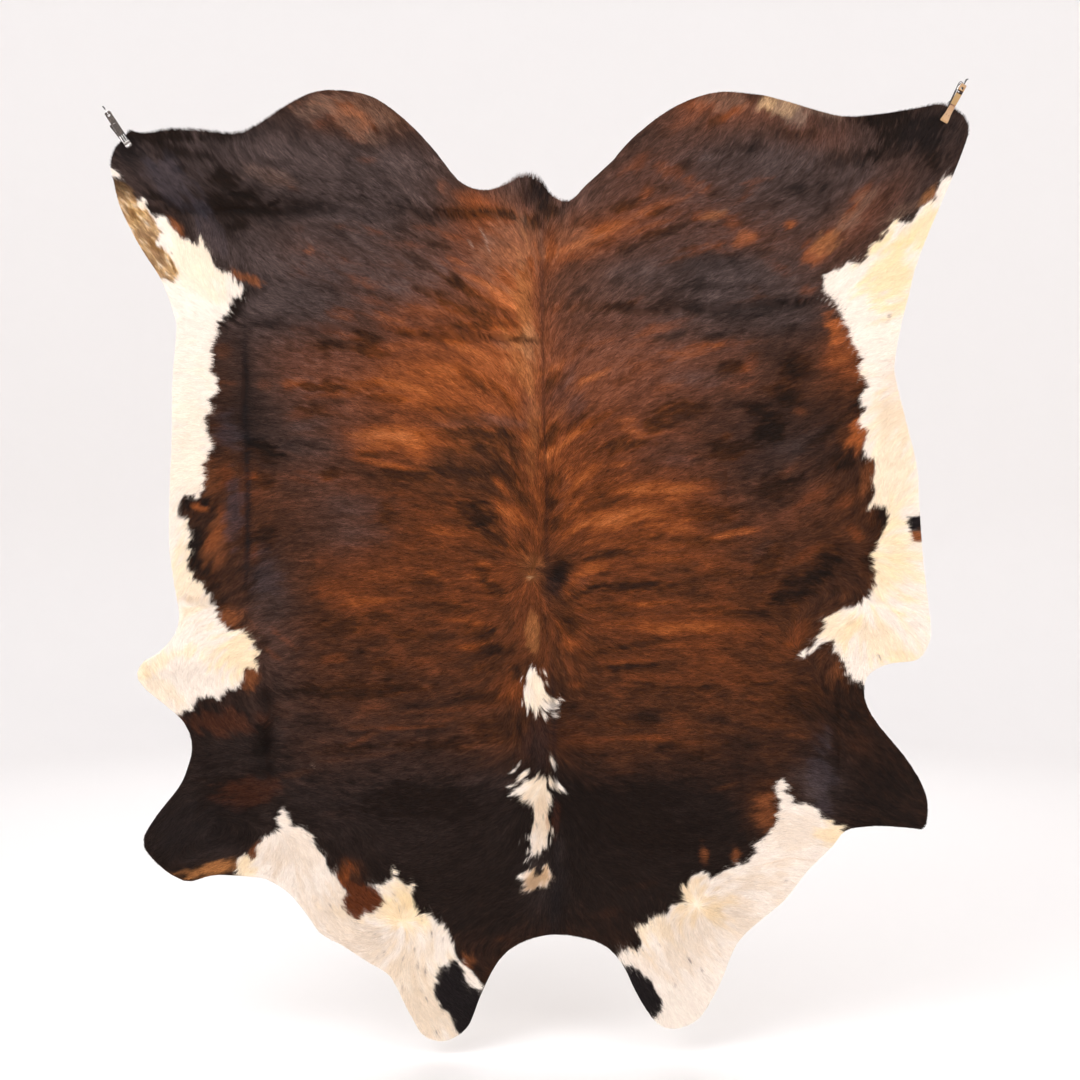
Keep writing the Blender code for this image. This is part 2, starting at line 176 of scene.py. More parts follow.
# %% Lights
SKY_COLOUR, SKY_STRENGTH = (0.95, 0.96, 1.0, 1.0), 1.28
SOFT_LIGHTS = [
    # name, place, aimed at, width and height, watts, colour
    ("window_light", (-2.6, -3.4, 1.6), (0.0, 0.0, -0.9), (2.6, 2.6), 120, (0.95, 0.97, 1.0)),
    ("room_light", (2.8, -3.8, 0.2), (0.0, 0.0, -1.1), (2.2, 3.0), 60, (1.0, 0.97, 0.94)),
    ("back_light", (0.0, 4.2, 1.0), (0.0, 0.0, -1.0), (3.0, 2.0), 40, (1.0, 0.98, 0.96)),
]

world = bpy.data.worlds.new("pale_sky")
world.use_nodes = True
sky = world.node_tree.nodes["Background"].inputs
sky["Color"].default_value = SKY_COLOUR
sky["Strength"].default_value = SKY_STRENGTH
bpy.context.scene.world = world

for name, place, aim, size, watts, colour in SOFT_LIGHTS:
    lamp = bpy.data.lights.new(name, "AREA")
    lamp.shape = "RECTANGLE"
    lamp.size, lamp.size_y = size
    lamp.energy = watts
    lamp.color = colour
    light = bpy.data.objects.new(name, lamp)
    light.location = place
    light.rotation_euler = Vector(np.subtract(aim, place)).to_track_quat("-Z", "Y").to_euler()
    bpy.context.collection.objects.link(light)
print(len(SOFT_LIGHTS), "soft lights and a pale sky")

# %% [markdown]
# ## Charts
# Much of what follows is drawn on a chart: an even grid of small cells laid over the hide, seen from
# the front, that holds one number or colour a cell. A pattern could also be computed hair by hair, but
# on a chart it can be blurred and combed, and the skin and every hair read the same one.

# %% Chart helpers
CELL = 2 * MM
MARGIN = 20 * MM
hide_low, hide_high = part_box("hide")
CHART_LEFT, CHART_FOOT = hide_low[0] - MARGIN, hide_low[2] - MARGIN
COLUMNS = int((hide_high[0] + MARGIN - CHART_LEFT) / CELL) + 1
ROWS = int((hide_high[2] + MARGIN - CHART_FOOT) / CELL) + 1
chart_x = CHART_LEFT + CELL * np.arange(COLUMNS)
chart_z = CHART_FOOT + CELL * np.arange(ROWS)
BEFORE_LAST = 1.001  # cells, so that a place at the edge still has a cell after it
FAR = 9.0  # metres, further than any two places on the hide


def smooth_step(low, high, value):
    """0 below low, 1 above high, and 3t^2 - 2t^3 between them."""
    t = np.clip((value - low) / (high - low), 0, 1)
    return t * t * (3 - 2 * t)


def read_cells(chart, column, row):
    """Reads a chart between its cells: the four round a place, each weighted by how near it is."""
    left, foot = column.astype(np.int32), row.astype(np.int32)
    across, up = column - left, row - foot
    if chart.ndim == 3:
        across, up = across[..., None], up[..., None]
    low = chart[foot, left] * (1 - across) + chart[foot, left + 1] * across
    high = chart[foot + 1, left] * (1 - across) + chart[foot + 1, left + 1] * across
    return low * (1 - up) + high * up


def read_chart(chart, x, z):
    """Reads a chart at places in metres. Past its edge it stays at the last cell."""
    column = np.clip((x - CHART_LEFT) / CELL, 0, COLUMNS - BEFORE_LAST)
    row = np.clip((z - CHART_FOOT) / CELL, 0, ROWS - BEFORE_LAST)
    return read_cells(chart, column, row)


def soften(chart, reach):
    """Gaussian blur by Fourier transform: a wave of frequency f is damped by exp(-2 (pi f reach)^2)."""
    rows = np.fft.fftfreq(ROWS)[:, None]
    columns = np.fft.rfftfreq(COLUMNS)[None, :]
    damping = np.exp(-2 * (np.pi * reach / CELL) ** 2 * (rows**2 + columns**2))
    return np.fft.irfft2(np.fft.rfft2(chart) * damping, s=chart.shape).astype(np.float32)


def mottle(size, seed):
    """Random blotches about this large, spread evenly round 0 with a deviation of 1."""
    grain = np.random.default_rng(seed).standard_normal((ROWS, COLUMNS)).astype(np.float32)
    blotches = soften(grain, size / 2)
    return blotches / blotches.std()


print("chart:", COLUMNS, "by", ROWS, "cells of", CELL / MM, "mm")

# %% [markdown]
# ## The skin
# Tanned cow skin is a limp sheet 2 to 3 mm thick. Its outline is odd, with shanks, flanks and a neck,
# but from one point of the backbone a straight line reaches every part of the rim without leaving the
# skin. So the sheet is a function of two parameters: a direction from that point, and how far out.
# The large folds come from the solid, which is read from the front onto a chart and rounded a little.
# Its rim is rounded too, and nudged by a few millimetres where the real edge curls up beside the clips.
# The narrow packing creases and the soft waves of the edge are then laid on.

# %% Rim of the hide
HEART = np.array([0.0, -1.10])
RIM_STEPS = 520
RIM_ROUNDING = 5 * MM
LOOKS_AHEAD = 0.3
NUDGES = [
    # place on the rim, how far along it is felt, how far the rim is lifted
    ((-940, -74), 14, 12), ((-889, -67), 30, -5), ((-812, -65), 50, -6), ((984, 26), 14, 6),
]


def places_of(mesh):
    """The places of a mesh's points, as rows of x, y, z."""
    places = np.empty(len(mesh.vertices) * 3, np.float32)
    mesh.vertices.foreach_get("co", places)
    return places.reshape(-1, 3)


def front_triangles(node):
    """The corners of a node's triangles that look towards the viewer, from their normals."""
    mesh = bpy.data.objects[node].data
    mesh.calc_loop_triangles()
    corners = np.empty(len(mesh.loop_triangles) * 3, np.int32)
    mesh.loop_triangles.foreach_get("vertices", corners)
    triangles = places_of(mesh)[corners.reshape(-1, 3)]
    normals = np.cross(triangles[:, 1] - triangles[:, 0], triangles[:, 2] - triangles[:, 0])
    return triangles[normals[:, 1] < -LOOKS_AHEAD * np.linalg.norm(normals, axis=1)]


def rim_points(triangles):
    """The ends of the edges that only one triangle has, put in order by their direction from the heart."""
    places, index = np.unique(np.round(triangles.reshape(-1, 3), 5), axis=0, return_inverse=True)
    corners = index.reshape(-1, 3)
    edges = np.sort(np.vstack([corners[:, [0, 1]], corners[:, [1, 2]], corners[:, [2, 0]]]), axis=1)
    edges, uses = np.unique(edges, axis=0, return_counts=True)
    rim = places[np.unique(edges[uses == 1])][:, [0, 2]]
    from_heart = rim - HEART
    return rim[np.argsort(np.arctan2(from_heart[:, 1], from_heart[:, 0]))]


def even_steps(loop, count):
    """A closed loop walked again in equal steps: its points by the length of the way to them."""
    closed = np.vstack([loop, loop[:1]])
    way = np.append(0, np.cumsum(np.linalg.norm(np.diff(closed, axis=0), axis=1)))
    steps = np.linspace(0, way[-1], count, endpoint=False)
    return np.stack([np.interp(steps, way, closed[:, axis]) for axis in (0, 1)], 1), way[-1]


def round_loop(loop, length, reach):
    """Gaussian blur along a closed loop, each wave damped by its frequency."""
    frequency = np.fft.fftfreq(len(loop)) * len(loop) / length
    damping = np.exp(-2 * (np.pi * frequency * reach) ** 2)
    return np.fft.ifft(np.fft.fft(loop, axis=0) * damping[:, None], axis=0).real


hide_front = front_triangles("hide")
fine_rim, RIM_LENGTH = even_steps(rim_points(hide_front), 8 * RIM_STEPS)
fine_rim = round_loop(fine_rim, RIM_LENGTH, RIM_ROUNDING)
for place, reach, lift in NUDGES:
    gap = np.linalg.norm(fine_rim - np.array(place) * MM, axis=1)
    fine_rim[:, 1] += lift * MM * np.exp(-((gap / (reach * MM)) ** 2))
rim = even_steps(fine_rim, RIM_STEPS)[0]
print("rim of the hide:", round(RIM_LENGTH, 2), "m round")

# %% Folds of the hide
NET_STEP = 2
NET_DEPTH = -0.4
FOLD_ROUNDING = 11 * MM
LEAST_NEAR, LEAST_WIDE = 0.02, 0.002
NEAR_ENOUGH = 0.05


def net_in_front():
    """A flat net of points in front of the hide, one for every second cell of the chart."""
    net_x, net_z = np.meshgrid(chart_x[::NET_STEP], chart_z[::NET_STEP])
    points = np.stack([net_x, np.full_like(net_x, NET_DEPTH), net_z], -1).reshape(-1, 3)
    rows, columns = net_x.shape
    here = (np.arange(rows - 1)[:, None] * columns + np.arange(columns - 1)[None, :]).ravel()
    faces = np.stack([here, here + 1, here + columns + 1, here + columns], 1)
    return add_mesh("net", points, faces, studio_material), net_x.shape


def folds_of_solid(node):
    """Depth of the hair side of a solid: a net pushed back onto it by a Shrinkwrap modifier. Where the net
    misses it, the depth comes from the nearest hits, through a blur of depths over a blur of hits."""
    net, shape = net_in_front()
    wrap = net.modifiers.new("onto_solid", "SHRINKWRAP")
    wrap.target = bpy.data.objects[node]
    wrap.wrap_method = "PROJECT"
    wrap.use_project_y = True
    wrap.use_positive_direction = True
    settled = net.evaluated_get(bpy.context.evaluated_depsgraph_get()).data
    depth = places_of(settled)[:, 1].reshape(shape)
    bpy.data.objects.remove(net)
    depth = depth.repeat(NET_STEP, 0).repeat(NET_STEP, 1)[:ROWS, :COLUMNS]
    hit = (depth > NET_DEPTH / 2).astype(np.float32)
    middle = depth[hit > 0].mean()
    near = soften(hit, FOLD_ROUNDING)
    wide = soften(hit, 4 * FOLD_ROUNDING)
    close = soften((depth - middle) * hit, FOLD_ROUNDING) / np.maximum(near, LEAST_NEAR)
    far = soften((depth - middle) * hit, 4 * FOLD_ROUNDING) / np.maximum(wide, LEAST_WIDE)
    return middle + np.where(near > NEAR_ENOUGH, close, far)


relief = folds_of_solid("hide")
print("folds run from", relief.min().round(4), "to", relief.max().round(4), "m in depth")

# %% [markdown]
# A crease is a soft trough along a line that somebody folded the rug on, so it fades out at both ends
# and is never quite as deep twice. Each has its own row below: where it runs, how deep and how wide it
# is, and how much painted shade darkens the hair there, which lies over it with its shiny side turned away.

# %% Creases laid one by one
CREASES = [
    # name, points it runs through, depth, half width, how much painted shade darkens it
    ("rump_left", [(-819, -245), (-546, -252), (-267, -259), (-38, -266)], 1.8, 11, 0.42),
    ("loin_left", [(-678, -510), (-430, -526), (-152, -544), (15, -554)], 1.8, 11, 0.40),
    ("loin_left_end", [(-221, -535), (-105, -544), (-36, -551), (48, -556)], 1.2, 7, 0.52),
    ("loin_right", [(150, -489), (382, -482), (729, -459)], 1.6, 10, 0.30),
    ("loin_right_end", [(581, -463), (688, -459)], 1.2, 8, 0.40),
    ("rump_right", [(460, -245), (572, -243)], 1.2, 7, 0.40),
    ("rump_left_bump", [(-720, -211), (-643, -215)], 0.8, 7, 0.35),
    ("flank_left", [(-833, -1163), (-662, -1166)], 1.6, 9, 0.22),
    ("side_left", [(-675, -505), (-669, -691), (-664, -853), (-669, -1015), (-671, -1154)], 1.6, 20, 0.35),
    ("shoulder_left", [(-624, -1321), (-620, -1455), (-624, -1618)], 1.8, 24, 0.45),
    ("shoulder_left_low", [(-664, -1548), (-666, -1734)], 1.4, 12, 0.35),
    ("flank_right", [(752, -1159), (880, -1161)], 0.9, 6, 0.05),
    ("shoulder_right", [(697, -1344), (697, -1502), (694, -1653)], 1.6, 9, 0.30),
    ("upright_right", [(437, -839), (437, -941)], 0.8, 6, 0.18),
    ("upright_left", [(-386, -1437), (-386, -1497)], 0.8, 6, 0.15),
    ("upright_low", [(382, -1437), (382, -1541)], 0.8, 6, 0.15),
    ("neck_left", [(-453, -1952), (-402, -1945), (-346, -1940)], -1.4, 7, 0.0),
    ("neck_right", [(382, -1910), (409, -1884), (442, -1866)], 1.0, 7, 0.06),
    ("elbow_left", [(-910, -1337), (-842, -1326), (-771, -1293)], -1.4, 7, 0.0),
    ("elbow_right", [(771, -1282), (857, -1282)], 0.8, 6, 0.04),
]
CREASE_UNEVEN = 0.35
WAVE_DEPTH, WAVE_WIDTH = 0.35 * MM, 90 * MM


def window_round(points, margin):
    """The window of the chart within a margin of some points: its rows and columns, and x and z there."""
    low, high = points.min(axis=0) - margin, points.max(axis=0) + margin
    first_column, first_row = ((low - (CHART_LEFT, CHART_FOOT)) / CELL).astype(int)
    last_column, last_row = ((high - (CHART_LEFT, CHART_FOOT)) / CELL).astype(int) + 2
    rows = slice(max(first_row, 0), min(last_row, ROWS))
    columns = slice(max(first_column, 0), min(last_column, COLUMNS))
    return (rows, columns), *np.meshgrid(chart_x[columns], chart_z[rows])


def from_stretch(x, z, start, step):
    """Where on a straight stretch its nearest point to each place lies, as a share, and how far off it is."""
    share = np.clip(((x - start[0]) * step[0] + (z - start[1]) * step[1]) / (step @ step), 0, 1)
    return share, np.hypot(x - start[0] - share * step[0], z - start[1] - share * step[1])


def stroke(route, half_width, fade=0.22):
    """A soft line: exp(-(distance to it / half width)^2), which fades over the first and last of its length.
    The distance is to the nearest of its straight stretches."""
    points = np.array(route) * MM
    half_width = half_width * MM
    steps = np.diff(points, axis=0)
    lengths = np.linalg.norm(steps, axis=1)
    window, x, z = window_round(points, 3 * half_width)
    nearest, along = np.full(x.shape, FAR), np.zeros(x.shape)
    for start, step, length, done in zip(points, steps, lengths, np.cumsum(lengths)):
        share, gap = from_stretch(x, z, start, step)
        along = np.where(gap < nearest, done - length * (1 - share), along)
        nearest = np.minimum(gap, nearest)
    along = along / lengths.sum()
    ends = smooth_step(0, fade, along) * smooth_step(0, fade, 1 - along)
    return window, ends * np.exp(-((nearest / half_width) ** 2))


unevenness = 1 + CREASE_UNEVEN * np.clip(mottle(60 * MM, 11), -2, 2)
crease_shade = np.zeros((ROWS, COLUMNS), np.float32)
for name, route, depth, half_width, darkens in CREASES:
    window, weight = stroke(route, half_width)
    relief[window] += depth * MM * weight * unevenness[window]
    crease_shade[window] = np.maximum(crease_shade[window], darkens * weight * unevenness[window])
relief += WAVE_DEPTH * mottle(WAVE_WIDTH, 12)
slope_up, slope_across = np.gradient(soften(relief, 3 * MM), CELL)
print(len(CREASES), "creases laid; deepest shade", crease_shade.max().round(2))

# %% [markdown]
# The sheet is now carried out ring by ring from the heart to the rim on the hair side, over a rounded
# cut edge, and back in on the flesh side. Both ends close in one point, so it is one watertight skin.

# %% Skin mesh
RINGS = 56
SKIN_THICKNESS = 2.6 * MM
EDGE_BULGE = 0.5 * MM
EDGE_NIBBLE = 0.6 * MM


def skin_points():
    """Point = heart + share * (rim - heart), with its depth read from the relief. The hair side has shares
    from 0 to 1, the cut edge swells a little past 1, and the flesh side lies one thickness behind."""
    nibble = np.random.default_rng(21).standard_normal(RIM_STEPS) * EDGE_NIBBLE
    radius = np.linalg.norm(rim - HEART, axis=1)
    shares = np.arange(1, RINGS + 1) / RINGS
    front = HEART + shares[:, None, None] * (rim - HEART)
    front[-1] += (rim - HEART) / radius[:, None] * nibble[:, None]
    depth = read_chart(relief, front[..., 0], front[..., 1])
    outward = (rim - HEART) / radius[:, None]
    edge = np.stack([front[-1] + EDGE_BULGE * outward] * 2)
    edge_depth = depth[-1] + np.array([[0.3], [0.7]]) * SKIN_THICKNESS
    flat = np.concatenate([front, edge, front[::-1]])
    deep = np.concatenate([depth, edge_depth, depth[::-1] + SKIN_THICKNESS])
    rings = np.stack([flat[..., 0], deep, flat[..., 1]], -1)
    heart_depth = read_chart(relief, HEART[:1], HEART[1:])[0]
    poles = [[HEART[0], heart_depth, HEART[1]], [HEART[0], heart_depth + SKIN_THICKNESS, HEART[1]]]
    return np.vstack([rings.reshape(-1, 3), poles])


def volume_in(points, triangles):
    """Signed volume of a closed mesh, a sixth of each corner product; negative if it is inside out."""
    a, b, c = (points[triangles[:, corner]] for corner in range(3))
    return (a * np.cross(b, c)).sum() / 6


def closed_triangles(points, rows, columns):
    """Two triangles for each cell between neighbouring rings, and a fan round the point that closes each
    end. They are turned round if the mesh would be inside out."""
    quads = ring_faces(rows, columns)
    here = np.arange(columns)
    after, top = np.roll(here, -1), (rows - 1) * columns
    first, last = np.full(columns, rows * columns), np.full(columns, rows * columns + 1)
    triangles = np.vstack([
        quads[:, [0, 1, 2]], quads[:, [0, 2, 3]],
        np.stack([first, after, here], 1), np.stack([last, top + here, top + after], 1),
    ])
    return triangles if volume_in(points, triangles) > 0 else triangles[:, ::-1]


points = skin_points()
triangles = closed_triangles(points, 2 * RINGS + 2, RIM_STEPS)
skin = add_mesh("skin", points, triangles, studio_material)
print("skin:", len(triangles), "triangles,", round(volume_in(points, triangles) * 1e6, 0), "ml of leather")

# %% [markdown]
# ## How the hair lies
# Hair on a cow runs back and outwards from a whorl on the withers, and down and outwards in front of it.
# A groomer would draw that with arrows, and so does this table: each row is a place and the way the
# tips point there. Between the arrows the direction is their mean, weighted by nearness. The whorls are
# added as places that all the hair points away from.

# %% Combing
COMBING = [
    # place across and up, way the tips point in degrees, 0 to the right and 90 up
    (-47, -204, 100), (29, -204, 75), (-1, -320, 112), (41, -320, 62), (-221, -204, 135), (-360, -18, 130),
    (-499, 5, 150), (-592, -65, 125), (-708, -65, 105), (-870, -76, 110), (-951, -111, 150),
    (-847, -181, 135), (-708, -204, 140), (-546, -204, 150), (-383, -204, 150), (-893, -320, 130),
    (-777, -343, 95), (-696, -424, 98), (-824, -459, 150), (-128, -343, 152), (-64, -436, 142),
    (-70, -320, 138), (-267, -366, 152), (-453, -366, 158), (-604, -343, 140), (-592, -482, 160),
    (-29, -528, 128), (-128, -551, 148), (-267, -551, 160), (-453, -575, 166), (-662, -575, 172),
    (-789, -575, 178), (-36, -760, 125), (-128, -760, 155), (-314, -783, 168), (-522, -783, 170),
    (-685, -760, 180), (-801, -806, 184), (-38, -969, 130), (-152, -969, 168), (-337, -992, 176),
    (-522, -969, 180), (-673, -969, 200), (-766, -969, 222), (-819, -957, 238), (-777, -1085, 240),
    (-696, -1096, 222), (-569, -1131, 186), (-314, -1154, 180), (-105, -1154, 186), (-17, -1200, 258),
    (-59, -1270, 215), (-198, -1293, 186), (-430, -1270, 184), (-604, -1247, 200), (-743, -1224, 30),
    (-673, -1270, 20), (-777, -1316, 60), (-859, -1316, 110), (-766, -1398, 110), (-696, -1386, 120),
    (-824, -1444, 130), (-546, -1432, 176), (-314, -1455, 184), (-128, -1455, 190), (-8, -1432, 268),
    (-36, -1595, 205), (-731, -1548, 190), (-824, -1664, 225), (-743, -1768, 20), (-662, -1761, 60),
    (-638, -1618, 178), (-476, -1618, 172), (-314, -1618, 180), (-152, -1641, 192), (11, -1687, 262),
    (-82, -1803, 215), (-430, -1757, 110), (-221, -1803, 190), (-128, -1919, 220), (34, -1850, 268),
    (-152, -2016, 325), (22, -1780, 240), (-54, -1831, 190), (57, -1421, 15), (64, -1618, -40),
    (69, -1757, -75), (127, -320, 28), (92, -412, 42), (266, -296, 24), (428, -273, 20), (590, -273, 24),
    (729, -308, 40), (845, -227, 50), (926, -157, 55), (961, -65, 60), (845, -30, 78), (706, -41, 85),
    (567, -30, 62), (428, -7, 50), (289, -65, 38), (196, -157, 34), (71, -505, 52), (150, -528, 30),
    (289, -528, 18), (474, -528, 16), (637, -528, 18), (697, -371, 40), (776, -459, 20), (729, -644, 8),
    (69, -737, 50), (150, -737, 26), (335, -760, 12), (521, -760, 10), (660, -760, 20), (787, -725, 45),
    (845, -691, 20), (769, -853, 82), (57, -969, 45), (150, -969, 18), (335, -969, 8), (521, -969, 8),
    (683, -969, 28), (787, -957, 80), (857, -992, 10), (64, -1154, -30), (173, -1154, 4), (382, -1154, 2),
    (567, -1108, 8), (706, -1085, -20), (776, -1131, -55), (706, -1182, 205), (664, -1247, 212),
    (718, -1312, 265), (822, -1247, 300), (857, -1154, -20), (62, -1340, -62), (173, -1340, -2),
    (382, -1340, 0), (590, -1316, -2), (729, -1432, -45), (822, -1571, -50), (845, -1653, -30),
    (196, -1525, 4), (382, -1525, 0), (567, -1502, 0), (683, -1618, -10), (173, -1757, -20),
    (335, -1734, -10), (474, -1687, 20), (127, -1896, -50), (219, -1896, -60),
]
COMBING_REACH = 26 * MM
COMBING_FALL = 1.7
WHORLS = [
    # name, middle, how far it rules the hair
    ("withers", (-8, -1101), 16), ("neck_left", (-307, -1901), 80), ("neck_right", (375, -1861), 80),
]
COARSE = 8
coarse_x, coarse_z = np.meshgrid(chart_x[::COARSE], chart_z[::COARSE])


def spread_out(coarse):
    """A coarse chart read at every cell of the full one."""
    column = np.minimum(np.arange(COLUMNS) / COARSE, coarse.shape[1] - BEFORE_LAST)
    row = np.minimum(np.arange(ROWS) / COARSE, coarse.shape[0] - BEFORE_LAST)
    return read_cells(coarse, column[None, :], row[:, None]).astype(np.float32)


def combed_ways():
    """Each arrow counts as 1 / (distance^2 + reach^2)^fall; the sum of the arrows gives the way."""
    ways = np.zeros((2, *coarse_x.shape))
    for across, up, degrees in COMBING:
        square = (coarse_x - across * MM) ** 2 + (coarse_z - up * MM) ** 2 + COMBING_REACH**2
        turn = np.radians(degrees)
        ways += np.array([np.cos(turn), np.sin(turn)])[:, None, None] / square**COMBING_FALL
    return ways / np.linalg.norm(ways, axis=0)


def add_whorls(way_x, way_z):
    """Near a whorl the way turns to the line from its middle, by exp(-(distance / reach)^2)."""
    x, z = np.meshgrid(chart_x, chart_z)
    for name, (across, up), reach in WHORLS:
        from_x, from_z = x - across * MM, z - up * MM
        distance = np.hypot(from_x, from_z) + 1e-6
        rule = np.exp(-((distance / (reach * MM)) ** 2))
        way_x = way_x * (1 - rule) + from_x / distance * rule
        way_z = way_z * (1 - rule) + from_z / distance * rule
    length = np.hypot(way_x, way_z) + 1e-9
    return (way_x / length).astype(np.float32), (way_z / length).astype(np.float32)


way_x, way_z = add_whorls(*[spread_out(part) for part in combed_ways()])
print(len(COMBING), "arrows and", len(WHORLS), "whorls comb the hide")


# %% Combed noise
def comb(chart, reach, step=2):
    """Averages a chart along the hair: walks from every cell forwards and back, a few cells at a time,
    always in the direction the hair has there, and takes the mean of what it passes."""
    total, count = chart.copy(), 1
    start_row, start_column = np.mgrid[0:ROWS, 0:COLUMNS].astype(np.float32)
    for forwards in (step, -step):
        row, column = start_row.copy(), start_column.copy()
        for _ in range(int(reach / CELL / step)):
            here = np.rint(row).astype(np.int32) * COLUMNS + np.rint(column).astype(np.int32)
            row = np.clip(row + forwards * way_z.ravel()[here], 0, ROWS - 1)
            column = np.clip(column + forwards * way_x.ravel()[here], 0, COLUMNS - 1)
            there = np.rint(row).astype(np.int32) * COLUMNS + np.rint(column).astype(np.int32)
            total += chart.ravel()[there]
            count += 1
    return total / count


def streaks(thickness, reach, seed):
    """Blotches drawn out along the hair, scaled to a deviation of 1."""
    drawn = comb(mottle(thickness, seed), reach)
    return drawn / drawn.std()


brindle = streaks(17 * MM, 42 * MM, 31)
wisps = streaks(7 * MM, 16 * MM, 32)
locks = streaks(4 * MM, 8 * MM, 33)
clouds = mottle(120 * MM, 34)
print("brindle, wisps and locks combed along the hair")
